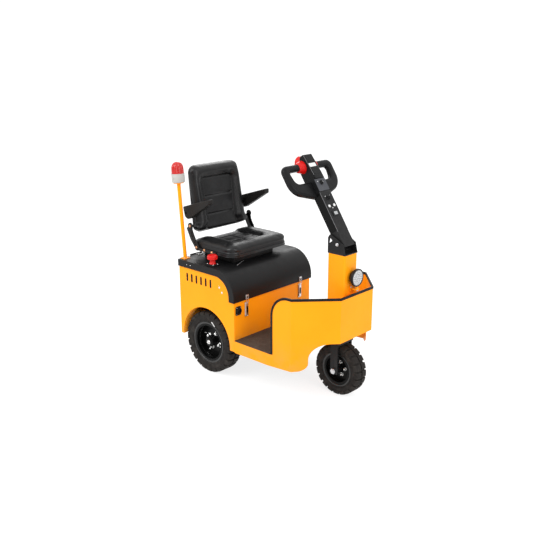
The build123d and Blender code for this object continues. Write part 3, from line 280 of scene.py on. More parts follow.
def dress(names, finish, edge):
    """Gives CAD nodes a finish, and rounds their sharp edges with modifiers alone."""
    for name in names.split():
        node = nodes[name]
        node.data.materials.clear()
        node.data.materials.append(finish)
        weld = node.modifiers.new("weld", "WELD")
        weld.merge_threshold = WELD * MM
        flat = node.modifiers.new("flat", "DECIMATE")
        flat.decimate_type = "DISSOLVE"
        flat.angle_limit = math.radians(0.4)
        smooth = node.modifiers.new("smooth", "NODES")
        smooth.node_group = shading
        if edge:
            add_bevel(node, edge)


dress("side_panel_right side_panel_left bulkhead rear_panel front_cowl front_deck", yellow, edge=0.9)
dress("steering_column headlight_bracket beacon_pole", yellow, edge=0.8)
dress("hood_shell", hood_black, edge=0.9)
dress("chassis_frame floor_plate drive_axle tow_hitch seat_riser", satin_black, edge=1.0)
dress("fork tiller_yoke tiller_arm", satin_black, edge=1.0)
# The seat pan takes the deep black as a painted shadow under the cushion; the rims take it as their own
# colour
dress("front_rim rear_rim_right rear_rim_left seat_pan", black_rims_and_painted_shade, edge=0.9)
dress("seat_links hinge_fixed hinge_moving", satin_black, edge=0.7)
dress("latch_levers latch_keepers front_axle", steel, edge=0.6)
dress("floor_mat", mat_rubber, edge=0.7)
dress("cowl_trim", edge_rubber, edge=1.1)
dress("battery_pack seat_back_shell charge_socket estop_base headlight_housing", dark_plastic, edge=0.9)
dress("armrest_right armrest_left", arm_plastic, edge=0)
dress("tiller_head tiller_handle", head_plastic, edge=1.4)
dress("estop_button tiller_switches", red_plastic, edge=0.8)
dress("beacon_base", grey_plastic, edge=0.8)


# Mesh helpers
def axes_at(origin, x, y, z):
    """A frame from its three axes."""
    matrix = Matrix((x, y, z)).transposed().to_4x4()
    matrix.translation = Vector(origin)
    return matrix


def frame_at(origin, axis, side=None):
    """A frame whose Z runs along the axis, and whose X lies as near to the side as it can."""
    z = Vector(axis).normalized()
    hint = Vector(side) if side else Vector(UPWARD if abs(z.z) < 0.9 else FORWARD)
    x = (hint - z * hint.dot(z)).normalized()
    return axes_at(origin, x, z.cross(x), z)


def circle(radius, count):
    """Points at equal steps round a circle, also the corners of a hexagon."""
    turns = [math.tau * i / count for i in range(count)]
    return [(radius * math.cos(a), radius * math.sin(a)) for a in turns]


def arc(centre, radius, start, steps):
    """Points on a quarter of a circle that starts at an angle in degrees."""
    turns = [math.radians(start + 90 * k / steps) for k in range(steps + 1)]
    return [(centre[0] + radius * math.cos(a), centre[1] + radius * math.sin(a)) for a in turns]


def rounded(width, height, radius):
    """Outline of a rectangle with round corners."""
    points = []
    x, y = width / 2 - radius, height / 2 - radius
    for corner, start in (((x, y), 0), ((-x, y), 90), ((-x, -y), 180), ((x, -y), 270)):
        points += arc(corner, radius, start, 4)
    return points


def loft(bm, rings, tone=0, closed=False):
    """Faces between neighbouring rings of points, with caps on the ends of an open row of rings."""
    following = rings[1:] + rings[:1] if closed else rings[1:]
    for low, high in zip(rings, following):
        for i, vert in enumerate(low):
            j = (i + 1) % len(low)
            bm.faces.new((vert, low[j], high[j], high[i])).material_index = tone
    if not closed:
        bm.faces.new(list(reversed(rings[0]))).material_index = tone
        bm.faces.new(rings[-1]).material_index = tone


def turn(bm, matrix, profile, count=32, tone=0):
    """Lathes (radius, height) points round the frame's Z."""
    rings = []
    for radius, height in profile:
        spots = circle(radius, count) if radius else [(0, 0)]
        rings.append([bm.verts.new(matrix @ Vector((x, y, height))) for x, y in spots])
    for low, high in zip(rings, rings[1:]):
        for i in range(count):
            j = (i + 1) % count
            corners = []
            for vert in (low[i % len(low)], low[j % len(low)], high[j % len(high)], high[i % len(high)]):
                if vert not in corners:
                    corners.append(vert)
            if len(corners) > 2:
                bm.faces.new(corners).material_index = tone


def prism(bm, matrix, outline, low, high, tone=0, taper=1.0):
    """Extrudes an outline along the frame's Z."""
    bottom = [bm.verts.new(matrix @ Vector((x, y, low))) for x, y in outline]
    top = [bm.verts.new(matrix @ Vector((x * taper, y * taper, high))) for x, y in outline]
    loft(bm, [bottom, top], tone)


def sweep(bm, points, radius, sides=10, closed=False, tone=0):
    """A round bar along points."""
    rings, count = [], len(points)
    points = [Vector(p) for p in points]
    up = None
    for i, point in enumerate(points):
        before = points[i - 1] if closed or i else point
        after = points[(i + 1) % count] if closed or i < count - 1 else point
        ahead = (after - before).normalized()
        up = (up - ahead * up.dot(ahead)).normalized() if up else frame_at(point, ahead).to_3x3().col[0]
        across = ahead.cross(up)
        rings.append([bm.verts.new(point + up * x + across * y) for x, y in circle(radius, sides)])
    loft(bm, rings, tone, closed)


def piece(name, bm, body, finishes, edge=0.0, angle=SHARP, replaced=()):
    """Turns a mesh in millimetres into a piece of the scene that rides on a body."""
    bmesh.ops.recalc_face_normals(bm, faces=bm.faces)
    bm.transform(Matrix.Scale(MM, 4))
    mesh = bpy.data.meshes.new(name)
    bm.to_mesh(mesh)
    bm.free()
    for finish in finishes if isinstance(finishes, list) else [finishes]:
        mesh.materials.append(finish)
    mesh.shade_smooth()
    mesh.set_sharp_from_angle(angle=math.radians(angle))
    obj = bpy.data.objects.new(name, mesh)
    bpy.context.scene.collection.objects.link(obj)
    if edge:
        add_bevel(obj, edge)
    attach(obj, body)
    if replaced:
        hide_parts(*replaced)


def bolt(bm, point, axis, radius, height, kind="hex", washer=1.45):
    """A hexagon head, a cap nut or a dome that stands on a surface, with its washer."""
    at = frame_at(point, axis)
    foot = -0.4
    if washer:
        rim = washer * radius
        plate = 0.14 * radius + 0.5
        turn(bm, at, [(0, foot), (rim, foot), (rim, plate * 0.7), (rim - 0.4, plate), (0, plate)], 24)
        foot = plate
    top = foot + height
    if kind == "hex":
        prism(bm, at, circle(radius, 6), foot - 0.2, foot + height * 0.85)
        turn(bm, at, [(0.86 * radius, foot + height * 0.8), (0.8 * radius, top), (0, top)], 24)
    elif kind == "cap":
        prism(bm, at, circle(radius, 6), foot - 0.2, foot + height * 0.45)
        turns = (0, 0.35, 0.7, 1.05, 1.35)
        crown = [(0.88 * radius * math.cos(a), foot + height * (0.4 + 0.6 * math.sin(a))) for a in turns]
        turn(bm, at, crown + [(0, top)], 24)
    else:
        crown = [(radius * math.cos(a), foot + height * math.sin(a)) for a in (0, 0.3, 0.6, 0.9, 1.2)]
        turn(bm, at, [(radius, foot - 0.3)] + crown + [(0, top)], 20)


# Wheels
def tyre(name, body, node, centre, radius, width, rim, bead, lugs):
    """Block-tread tyre: a rounded carcass with two rows of lugs over its shoulders."""
    bm = bmesh.new()
    cx, cy, cz = centre
    half = width / 2
    # The carcass lies a little inside the lugs, which stand out of it.
    crown = radius - 8
    wall = half - 3
    rise = crown - rim
    flank = [(bead - 5, rim + 0.4), (bead - 1.5, rim + 3), (bead + 0.5, rim + 6), (bead + 3, rim + 8)]
    shares = [(4, 0.26), (2, 0.32), (0.8, 0.335), (0.8, 0.37), (1.9, 0.385), (0.7, 0.55), (0.4, 0.7)]
    flank += [(wall - inset, rim + share * rise) for inset, share in shares]
    shoulder = [(1.2, 12), (4, 5.5), (10, 1.4), (18, 0.2)]
    flank += [(wall - inset, crown - drop) for inset, drop in shoulder]
    profile = flank + [(0, crown + 0.3)] + [(-y, r) for y, r in reversed(flank)]
    profile += [(-bead + 12, rim + 0.4), (bead - 12, rim + 0.4)]

    def spot(angle, y, r):
        return bm.verts.new((cx + r * math.sin(angle), cy + y, cz + r * math.cos(angle)))

    count = 6 * lugs
    loft(bm, [[spot(math.tau * i / count, y, r) for y, r in profile] for i in range(count)], closed=True)
    pitch = math.tau / lugs
    section = [
        (3.2, crown - 3), (3.2, radius - 1.2), (4.6, radius), (half - 13, radius), (half - 8, radius - 1.3),
        (half - 3.6, radius - 4.6), (half - 0.8, radius - 9.5), (half, radius - 15),
        (half - 0.6, radius - 21), (wall - 3, radius - 26), (wall - 14, radius - 21),
    ]

    def slice_of_lug(side, middle, share):
        """A slice of a block, which widens towards its foot and leans a little across the tread."""
        row = []
        for y, r in section:
            span = pitch * (0.375 + 0.03 * (radius - r) / 25)
            lean = 0.10 * pitch * (y / half - 0.5)
            row.append(spot(middle + share * span + side * lean, side * y, r))
        return row

    steps = 6
    for side in SIDES:
        for i in range(lugs):
            middle = math.pi + i * pitch
            loft(bm, [slice_of_lug(side, middle, 2 * s / steps - 1) for s in range(steps + 1)])
    piece(name, bm, body, tyre_rubber, edge=1.1, angle=40, replaced=(node,))


def lock_ring(name, body, centre, sides, rim, bead):
    """Stepped ring round the rim, which laps over the bead of the tyre."""
    bm = bmesh.new()
    back = 6 - bead
    steps = [(-6.5, back), (-6.5, -20), (-4.5, -18), (-4.5, -6), (-2, -2), (2, 0.5), (3, 3.5), (7, 6)]
    steps += [(12, 7), (14.5, 5.5), (15, 2), (10, -1), (-2, -8), (-5, back), (-6.5, back)]
    for side in sides:
        turn(bm, frame_at(centre, (0, side, 0)), [(rim + grow, bead + out) for grow, out in steps], 72)
    piece(name, bm, body, rim_gloss, angle=50)


def bolt_ring(bm, centre, side, ring, first, count, **look):
    """Bolts at equal steps round a wheel's face, the first at an angle in degrees."""
    x, y, z = centre
    for i in range(count):
        a = math.radians(first + 360 / count * i)
        bolt(bm, (x + ring * math.cos(a), y, z + ring * math.sin(a)), (0, side, 0), **look)


REAR_X, REAR_Y, REAR_R = -282.0, 273.0, 190.0
REAR_W, REAR_RIM, REAR_BEAD, REAR_LUGS = 106.0, 114.0, 40.0, 24
FRONT_X, FRONT_R = 483.0, 151.0
FRONT_W, FRONT_RIM, FRONT_BEAD, FRONT_LUGS = 94.0, 86.0, 34.0, 20
# How far out of the wheel's middle plane its parts stand
NUTS_OUT, RIVETS_OUT, CAP_OUT, CAP_BOLT_OUT, STEM_OUT, FRONT_NUTS_OUT = -6, -11, 38, 42.6, 48.5, 8
REAR_NUTS = dict(ring=50, first=66, count=4, radius=13, height=19, kind="cap", washer=1.25)
REAR_RIVETS = dict(ring=90, first=20, count=5, radius=5, height=5)
FRONT_NUTS = dict(ring=38, first=8, count=5, radius=8.5, height=13, kind="cap", washer=1.2)
HUB_CAP = ((0, -2), (27, -2), (27, 2), (24, 4), (12, 5), (0, 5))
STEM = ((36, 140), (49, 129), (62, 116))


def rear_point(side, out, dx=0, dz=0):
    """A point at a rear wheel, from its middle."""
    return REAR_X + dx, side * (REAR_Y + out), REAR_R + dz


for label, side in (("right", -1), ("left", 1)):
    body = "rear_wheel_" + label
    out = (0, side, 0)
    hub = rear_point(side, 0)
    wheel = (hub, REAR_R, REAR_W, REAR_RIM, REAR_BEAD, REAR_LUGS)
    tyre("tread_rear_" + label, body, "rear_tyre_" + label, *wheel)
    bm = bmesh.new()
    turn(bm, frame_at(rear_point(side, CAP_OUT), out), HUB_CAP, 32, 1)
    bolt(bm, rear_point(side, CAP_BOLT_OUT), out, 9, 7)
    bolt_ring(bm, rear_point(side, NUTS_OUT), side, **REAR_NUTS)
    bolt_ring(bm, rear_point(side, RIVETS_OUT), side, **REAR_RIVETS)
    sweep(bm, [rear_point(side, STEM_OUT, dx, dz) for dx, dz in STEM], 3.6, 12)
    piece("wheel_nuts_rear_" + label, bm, body, [zinc, black_rims_and_painted_shade], edge=0.5)
    lock_ring("lock_ring_" + label, body, hub, (side,), REAR_RIM, REAR_BEAD)

hub = (FRONT_X, 0, FRONT_R)
wheel = (hub, FRONT_R, FRONT_W, FRONT_RIM, FRONT_BEAD, FRONT_LUGS)
tyre("tread_front", "front_wheel", "front_tyre", *wheel)
lock_ring("lock_ring_front", "front_wheel", hub, SIDES, FRONT_RIM, FRONT_BEAD)
bm = bmesh.new()
for side in SIDES:
    bolt_ring(bm, (FRONT_X, side * FRONT_NUTS_OUT, FRONT_R), side, **FRONT_NUTS)
piece("wheel_nuts_front", bm, "front_wheel", zinc, edge=0.4)

# Seat
SEAT_MID, SEAT_FRONT, SEAT_REAR, SEAT_HALF = -318.5, -139.0, -498.0, 242.0
PAN_TOP, PAN_CORNER, BAND_END = 741.0, 60.0, -412.0
SEAT_PANEL_HALF, SEAT_PANEL_INSET, SEAT_PANEL_CORNER = 122.0, 92.0, 40.0
BACK_LEAN = math.radians(10.5)
BACK_UP = Vector((-math.sin(BACK_LEAN), 0, math.cos(BACK_LEAN)))
BACK_OUT = Vector((math.cos(BACK_LEAN), 0, math.sin(BACK_LEAN)))
BACK_FOOT = Vector((-446, 0, 826))
BACK_TALL, BACK_PAD, BACK_CORNER = 402.0, 56.0, 48.0
BACK_CHANNELS = (208, 97)
PANEL_HALF, PANEL_CORNER, ARM_GAP = 118.0, 26.0, 214.0
SWELL_LIMIT, CLOTH_FRAMES, COVER_GRID = 22, 20, 5.2


def back_point(across, up, out):
    return BACK_FOOT + BACK_UP * up + BACK_OUT * out + ACROSS * across


def back_local(p):
    """How far across, up and out a point lies on the backrest."""
    rel = p - BACK_FOOT
    return p.y, rel.dot(BACK_UP), rel.dot(BACK_OUT)


def back_half(up):
    """Half width of the backrest at a height."""
    return 212 - 29 * up / BACK_TALL


def dent(distance, width):
    """A rounded sewn groove, 1 on its line and 0 away from it."""
    return math.exp(-((distance / width) ** 2))


def step(value, low, high):
    """Rises smoothly from 0 to 1 between two values."""
    t = min(1.0, max(0.0, (value - low) / (high - low)))
    return t * t * (3 - 2 * t)


def panel_distance(across, up, half_width, top, corner):
    """Signed distance from a panel with round upper corners and no lower edge: below zero inside."""
    dx, dz = abs(across) - half_width + corner, up - top + corner
    return math.hypot(max(dx, 0), max(dz, 0)) + min(max(dx, dz), 0) - corner


def inflate(obj, pinned):
    """Lets the cover swell over its filling with cloth, held where it is pinned."""
    group = obj.vertex_groups.new(name="held")
    for vert in obj.data.vertices:
        weight = pinned(vert.co / MM)
        if weight > 0.02:
            group.add([vert.index], weight, "REPLACE")
    start = [vert.co.copy() for vert in obj.data.vertices]
    cloth = obj.modifiers.new("cloth", "CLOTH")
    settings = cloth.settings
    settings.quality = 6
    settings.mass = 0.3
    settings.use_pressure = True
    settings.uniform_pressure_force = 4.0
    settings.vertex_group_mass = "held"
    settings.tension_stiffness = settings.compression_stiffness = 25
    settings.effector_weights.gravity = 0
    scene = bpy.context.scene
    for number in range(1, CLOTH_FRAMES + 1):
        scene.frame_set(number)
    graph = bpy.context.evaluated_depsgraph_get()
    swollen = [vert.co.copy() for vert in obj.evaluated_get(graph).data.vertices]
    obj.modifiers.remove(cloth)
    scene.frame_set(1)
    limit = SWELL_LIMIT * MM
    for vert, old, new in zip(obj.data.vertices, start, swollen):
        move = new - old
        if move.length > limit:
            move *= limit / move.length
        vert.co = old + move
    obj.vertex_groups.clear()


def relax(bm, factor):
    """Smooths a mesh a little."""
    every_axis = {"use_axis_" + axis: True for axis in "xyz"}
    bmesh.ops.smooth_vert(bm, verts=bm.verts, factor=factor, **every_axis)


def cushion(name, node, shrink, pinned, shape):
    """A padded cover: a smaller copy of its CAD solid, swollen by cloth and then sewn."""
    mesh = nodes[node].data.copy()
    mesh.name = name
    obj = bpy.data.objects.new(name, mesh)
    bpy.context.scene.collection.objects.link(obj)
    bm = bmesh.new()
    bm.from_mesh(mesh)
    bmesh.ops.remove_doubles(bm, verts=bm.verts, dist=WELD * MM)
    for vert in bm.verts:
        vert.co = shrink(vert.co / MM) * MM
    bm.to_mesh(mesh)
    bm.free()
    obj.data.remesh_voxel_size = COVER_GRID * MM
    bpy.context.view_layer.objects.active = obj
    obj.select_set(True)
    bpy.ops.object.voxel_remesh()
    inflate(obj, pinned)
    bm = bmesh.new()
    bm.from_mesh(obj.data)
    for _ in range(8):
        relax(bm, 0.5)
    bmesh.ops.subdivide_edges(bm, edges=bm.edges, cuts=1, use_grid_fill=True, smooth=0)
    relax(bm, 0.5)
    bm.normal_update()
    moved = [shape(vert.co / MM, vert.normal) * MM for vert in bm.verts]
    for vert, place in zip(bm.verts, moved):
        vert.co = place
    relax(bm, 0.4)
    bm.to_mesh(obj.data)
    bm.free()
    obj.data.materials.clear()
    obj.data.materials.append(seat_leather)
    obj.data.shade_smooth()
    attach(obj, "hood")
    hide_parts(node)


def seat_panel(p):
    """Distance from the sewn edge of the cushion's middle panel."""
    return panel_distance(p.y, p.x, SEAT_PANEL_HALF, SEAT_FRONT - SEAT_PANEL_INSET, SEAT_PANEL_CORNER)


def seat_shrink(p):
    """Rounds the solid towards a pillow before it is filled."""
    x = (p.x - SEAT_MID) / (SEAT_FRONT - SEAT_MID)
    y = p.y / SEAT_HALF
    low = 1 - step(p.z, PAN_TOP, PAN_TOP + 20)
    inset = 1 - 0.02 - 0.025 * low
    drop = 0.30 * max(abs(x) ** 6, abs(y) ** 6)
    z = PAN_TOP + (p.z - PAN_TOP) * (0.92 - drop)
    return Vector((SEAT_MID + (p.x - SEAT_MID) * inset, p.y * inset, z))


def seat_pinned(p):
    """Held along the pan and along the sewn edge of the middle panel."""
    low = 1 - step(p.z, PAN_TOP + 4, PAN_TOP + 12)
    seam = dent(seat_panel(p), 9) * step(p.z, PAN_TOP + 28, PAN_TOP + 36)
    return max(low, 0.9 * seam)


def seat_shape(p, normal):
    """Raised bolsters and front roll round a sunk, quilted middle, with sewn grooves."""
    up = step(p.z, PAN_TOP + 20, PAN_TOP + 44)
    inner = seat_panel(p)
    lift = 7 * step(inner, -6, 34) * up * step(p.x, SEAT_REAR + 10, SEAT_REAR + 90)
    sink = -15 * step(-inner, -16, 18) * up
    quilt = step(-inner, 0, 10)
    seams = sum(dent(p.x - at, 5) for at in (SEAT_REAR + 96, SEAT_REAR + 182)) * quilt
    seams += dent(p.y, 5) * quilt * step(p.x, SEAT_REAR + 60, SEAT_REAR + 100)
    groove = -6 * dent(inner, 5.5) * up - 4.5 * seams * up
    crease = noise.noise(p / 34) * 0.9 * up
    out = p + Vector((0, 0, lift + sink + crease)) + Vector(normal) * groove
    # The foot spreads to the edge of the pan, except beside the links.
    spread = 1 + 0.055 * (1 - step(p.z, PAN_TOP, PAN_TOP + 18)) + 0.032 * dent(p.z - PAN_TOP - 26, 20)
    side = SEAT_HALF - 0.6 + 6 * step(p.x, BAND_END - 6, BAND_END + 40)
    y = max(-side, min(side, out.y * spread))
    return Vector((SEAT_MID + (out.x - SEAT_MID) * spread, y, max(out.z, PAN_TOP + 0.2)))


def back_shrink(p):
    """Rounds the solid over its edges, and lets it lap over the shell at the top."""
    across, up, out = back_local(p)
    middle = BACK_TALL / 2
    side = across / back_half(up)
    tall = (up - middle) / middle
    front = (out + BACK_PAD) / BACK_PAD
    drop = 0.30 * max(abs(side) ** 6, abs(tall) ** 6)
    up = middle + (up - middle) * (0.985 + 0.03 * (tall > 0))
    return back_point(across * 0.985, up, -BACK_PAD + BACK_PAD * front * (0.92 - drop))


def back_panel(across, up):
    """Distance from the sunk panel's sewn edge."""
    return panel_distance(across, up, PANEL_HALF + 0.04 * (up - 200), 0.79 * BACK_TALL, PANEL_CORNER)


def back_pinned(p):
    """Held along the shell and along the sewn edge of the panel."""
    across, up, out = back_local(p)
    low = 1 - step(out, 4 - BACK_PAD, 12 - BACK_PAD)
    return max(low, 0.9 * dent(back_panel(across, up), 9) * step(out, -28, -18))


def back_shape(p, normal):
    """Rolled border and bolsters round a sunk panel with two sewn channels."""
    across, up, out = back_local(p)
    face = step(out, -34, -14)
    inner = back_panel(across, up)
    lift = 13 * step(inner, 4, 40) * (1 - 0.6 * step(inner, 52, 96)) * face
    sink = -13 * step(-inner, -14, 14) * face * step(up, -20, 60)
    channels = sum(dent(up - at, 5) for at in BACK_CHANNELS) * step(-inner, 2, 12)
    groove = -6.5 * dent(inner, 5.5) * face - 6 * channels * face
    crease = noise.noise(p / 40) * 0.8 * face
    moved = p + BACK_OUT * (lift + sink + crease) + Vector(normal) * groove
    across, up, out = back_local(moved)
    # Beside the armrests the cover keeps within their gap, and below them it swells.
    below = 1 - step(up, 24, 64)
    across *= 1 + 0.06 * step(up, 120, 380) + 0.105 * below
    reach = ARM_GAP + 22 * below
    across = max(-reach, min(reach, across))
    return back_point(across, up, max(out, 0.2 - BACK_PAD))


cushion("seat_cover", "seat_cushion", seat_shrink, seat_pinned, seat_shape)
cushion("back_cover", "seat_back_cushion", back_shrink, back_pinned, back_shape)


def pan_line(offset, z):
    """Points from one side of the pan round its front to the other."""
    x, y = SEAT_FRONT - PAN_CORNER, SEAT_HALF - PAN_CORNER
    line = [(BAND_END, -SEAT_HALF - offset)]
    for side, start in ((-1, 270), (1, 0)):
        line += arc((x, side * y), PAN_CORNER + offset, start, 10)
    return [(px, py, z) for px, py in line + [(BAND_END, SEAT_HALF + offset)]]


# Leather band that hangs over the edge of the pan, with piping along its foot
bm = bmesh.new()
band = [(0.7, 726), (2.6, 725.2), (4.3, 728), (4.5, 735), (4.1, 741), (3.0, 743.6), (0.7, 743.6)]
rows = [[bm.verts.new(point) for point in pan_line(offset, z)] for offset, z in band]
loft(bm, [list(ring) for ring in zip(*rows)])
sweep(bm, pan_line(3.2, 727), 3.2)
piece("seat_piping", bm, "hood", seat_leather, angle=50)


def back_ring(inset, out):
    """Points round the backrest at an inset from its outline."""
    line = []
    for side, up, start in ((-1, 0, 180), (1, 0, 270), (1, BACK_TALL, 0), (-1, BACK_TALL, 90)):
        corner = (side * (back_half(up) - BACK_CORNER), up - BACK_CORNER if up else BACK_CORNER)
        line += arc(corner, BACK_CORNER - inset, start, 8)
    return [back_point(across, up, out) for across, up in line]


# Piping along the seam between the back's cover and its shell
bm = bmesh.new()
sweep(bm, back_ring(2.2, 2 - BACK_PAD), 3.4, closed=True)
piece("back_piping", bm, "hood", seat_leather)

# Ridged side plates over the links, the rail under the cushion and their bolts
PLATE_PATH = ((-434.0, 742.0), (-463.0, 786.0), (-490.0, 840.0), (-490.0, 868.0))
KNUCKLES = (18, 17, 18, 19)
PLATE_Y, PLATE_BOLT_Y, RAIL_Y, RAIL_BOLT_Y, RIDGE_PITCH = 247.6, 256.8, 247.4, 255.2, 13
bm = bmesh.new()
for side in SIDES:
    out = (0, side, 0)
    for (x0, z0), (x1, z1) in zip(PLATE_PATH, PLATE_PATH[1:]):
        count = max(2, round(math.hypot(x1 - x0, z1 - z0) / RIDGE_PITCH))
        for k in range(count):
            share = k / count
            at = frame_at((x0 + (x1 - x0) * share, side * PLATE_Y, z0 + (z1 - z0) * share), out)
            turn(bm, at, [(0, 0), (16.5, 0), (16.5, 4), (15, 6), (9, 6.6), (0, 6.6)], 24)
    for (x, z), radius in zip(PLATE_PATH, KNUCKLES):
        at = frame_at((x, side * PLATE_Y, z), out)
        turn(bm, at, [(0, 0), (radius, 0), (radius, 7), (radius - 2.5, 9.4), (0, 9.4)], 28)
    prism(bm, frame_at((-355, side * RAIL_Y, 735), out, FORWARD), rounded(170, 17, 4), 0, 8)
piece("link_plates", bm, "hood", satin_black, edge=0.6)
bm = bmesh.new()
plate_bolts = [(-490, PLATE_BOLT_Y, 868), (-436, PLATE_BOLT_Y, 744)]
for side in SIDES:
    for x, y, z in plate_bolts + [(-368, RAIL_BOLT_Y, 737), (-302, RAIL_BOLT_Y, 735)]:
        bolt(bm, (x, side * y, z), (0, side, 0), 7, 4, "dome", 1.3)
piece("link_bolts", bm, "hood", copper, edge=0.4)

# Short release lever on the hood, under the front of the seat
bm = bmesh.new()
sweep(bm, [(-139, -203, 682), (-160, -158, 682.5), (-181, -113, 682)], 2.8)
piece("release_lever", bm, "hood", steel, edge=0.4)

# Dark plates that fill the vent slots: painted shade standing for the dark inside behind them
VENTS, VENT_PITCH, VENT_X, VENT_Z, VENT_FACE = 6, 41, -335, 576, 335.2
bm = bmesh.new()
for side in SIDES:
    for i in range(VENTS):
        x = VENT_X + VENT_PITCH * (i - (VENTS - 1) / 2)
        vent = frame_at((x, side * VENT_FACE, VENT_Z), (0, side, 0), FORWARD)
        prism(bm, vent, rounded(14.8, 51.8, 7.2), -3, 0)
piece("vent_painted_shade", bm, "chassis", black_rims_and_painted_shade)

# Tiller
LEAN = math.radians(33.5)
ALONG = Vector((-math.sin(LEAN), 0, math.cos(LEAN)))
OUT = Vector((math.cos(LEAN), 0, math.sin(LEAN)))
PIVOT = Vector((483, 0, 888))
# Places up the arm, from its pivot
KEY_UP, KNOB_UP, PUSH_UP, SHOW_UP = 350.0, 257.0, 211.0, 165.0
# Distances out of the arm's middle: its face, and the feet of what stands on it, sunk a little in the plates
ARM_FACE, BUTTON_FOOT, KNOB_FOOT, SCREW_FOOT, LAMP_FOOT = 28.6, 29.4, 29.6, 29.7, 29.8


def arm_frame(along, out, across=0.0):
    """A frame on the tiller's front: X across, Y up the arm and Z outwards."""
    return axes_at(PIVOT + ALONG * along + OUT * out + ACROSS * across, ACROSS, ALONG, OUT)


bm = bmesh.new()
prism(bm, arm_frame(339, ARM_FACE), rounded(86, 72, 3), 0, 1.4, 0)
prism(bm, arm_frame(216, ARM_FACE), rounded(78, 148, 4), 0, 1.0, 1)
piece("control_panel", bm, "tiller", [plate_grey, dark_plastic], edge=0.4)

# Key switch, knob, lamps, push buttons, blank display and screws
DARK, BRIGHT, PALE, GLASS = range(4)
bm = bmesh.new()
for along in (KEY_UP, KNOB_UP):
    at = arm_frame(along, KNOB_FOOT)
    turn(bm, at, [(14, 0), (14, 2), (12.5, 3.4), (11, 3.6), (11, 5), (0, 5)], 32, DARK)
    turn(bm, at, [(10, 4), (10, 9.6), (9, 11), (0, 11)], 28, DARK)
    prism(bm, at, rounded(5, 19, 2), 10.4, 14.4, DARK, 0.92)
prism(bm, arm_frame(KEY_UP, KNOB_FOOT), rounded(1.6, 9, 0.7), 14.2, 14.7, BRIGHT)
for across in (-19, 17):
    at = arm_frame(KNOB_UP + 12, BUTTON_FOOT, across)
    turn(bm, at, [(2.6, 0), (2.6, 0.9), (2, 1.3), (0, 1.4)], 16, PALE)
turn(bm, arm_frame(KEY_UP + 10, LAMP_FOOT, -24), [(3, 0), (3, 0.9), (2, 1.3), (0, 1.4)], 16, BRIGHT)
for across in (-21, 21):
    at = arm_frame(PUSH_UP, BUTTON_FOOT, across)
    turn(bm, at, [(9, 0), (9, 1.8), (8, 2.6), (7, 2.6), (7, 1)], 28, BRIGHT)
    turn(bm, at, [(6.8, 0.8), (6.8, 3.4), (5.8, 4.4), (0, 4.8)], 28, PALE)
turn(bm, arm_frame(PUSH_UP - 14, BUTTON_FOOT), [(3.6, 0), (3.6, 1.4), (2.6, 2.4), (0, 2.7)], 20, PALE)
at = arm_frame(SHOW_UP, BUTTON_FOOT)
prism(bm, at, rounded(44, 32, 5), 0, 3.4, DARK)
prism(bm, at @ Matrix.Translation((3, 0, 0)), rounded(28, 18, 3), 3.2, 3.9, GLASS)
for across in (-35, 35):
    for along in (148, 284):
        bolt(bm, arm_frame(along, SCREW_FOOT, across).translation, OUT, 2.4, 1.4, "dome", 0)
knob_finishes = [dark_plastic, zinc, white_plate, display_glass]
piece("control_knobs", bm, "tiller", knob_finishes, edge=0.35, replaced=("tiller_controls",))

# Blank plate and moulded ribs on the head's front, which slopes back to its tip
HEAD_FOOT, HEAD_RUN, HEAD_DROP, HEAD_OUT = 396, 132, 13, 36
face_lean = math.atan2(HEAD_DROP, HEAD_RUN)
FACE_UP = (ALONG * math.cos(face_lean) - OUT * math.sin(face_lean)).normalized()
FACE_OUT = (OUT * math.cos(face_lean) + ALONG * math.sin(face_lean)).normalized()


def head_frame(along, lift=0.0, across=0.0):
    """A frame on the head's sloping front."""
    out = HEAD_OUT - HEAD_DROP * (along - HEAD_FOOT) / HEAD_RUN
    place = PIVOT + ALONG * along + OUT * out + FACE_OUT * lift + ACROSS * across
    return axes_at(place, ACROSS, FACE_UP, FACE_OUT)


bm = bmesh.new()
prism(bm, head_frame(460, 0, -4), rounded(54, 22, 2), -0.5, 0.9)
piece("head_label", bm, "tiller", white_plate, edge=0.25)
bm = bmesh.new()
for along, tall in ((424, 40), (501, 38)):
    prism(bm, head_frame(along), rounded(58, tall, 5), -1, 1.0, taper=0.98)
piece("head_ribs", bm, "tiller", head_plastic, edge=0.5)

# Smooth black side plates on the arm, a channel darker than its front that also paints the shade of its
# sides, and pale strips along the edges of arm and head that paint highlights there
bm = bmesh.new()
for side in SIDES:
    plate = frame_at(PIVOT + ALONG * 183 + ACROSS * side * 45, (0, side, 0), ALONG)
    prism(bm, plate, rounded(226, 46, 4), -0.4, 0.7)
    arm_highlight_line = [arm_frame(along, 27.2, side * 43.2).translation for along in (62, 180, 296)]
    head_highlight_line = [head_frame(along, -0.7, side * 34.1).translation for along in (400, 460, 523)]
    sweep(bm, arm_highlight_line, 1.3, 8, tone=1)
    sweep(bm, head_highlight_line, 1.2, 8, tone=1)
piece("arm_sides", bm, "tiller", [black_rims_and_painted_shade, painted_edge_highlight])

bm = bmesh.new()
for side in SIDES:
    bolt(bm, PIVOT + ACROSS * side * 62.3, (0, side, 0), 7, 6.5, "hex", 1.3)
piece("yoke_bolts", bm, "steering", steel, edge=0.4)

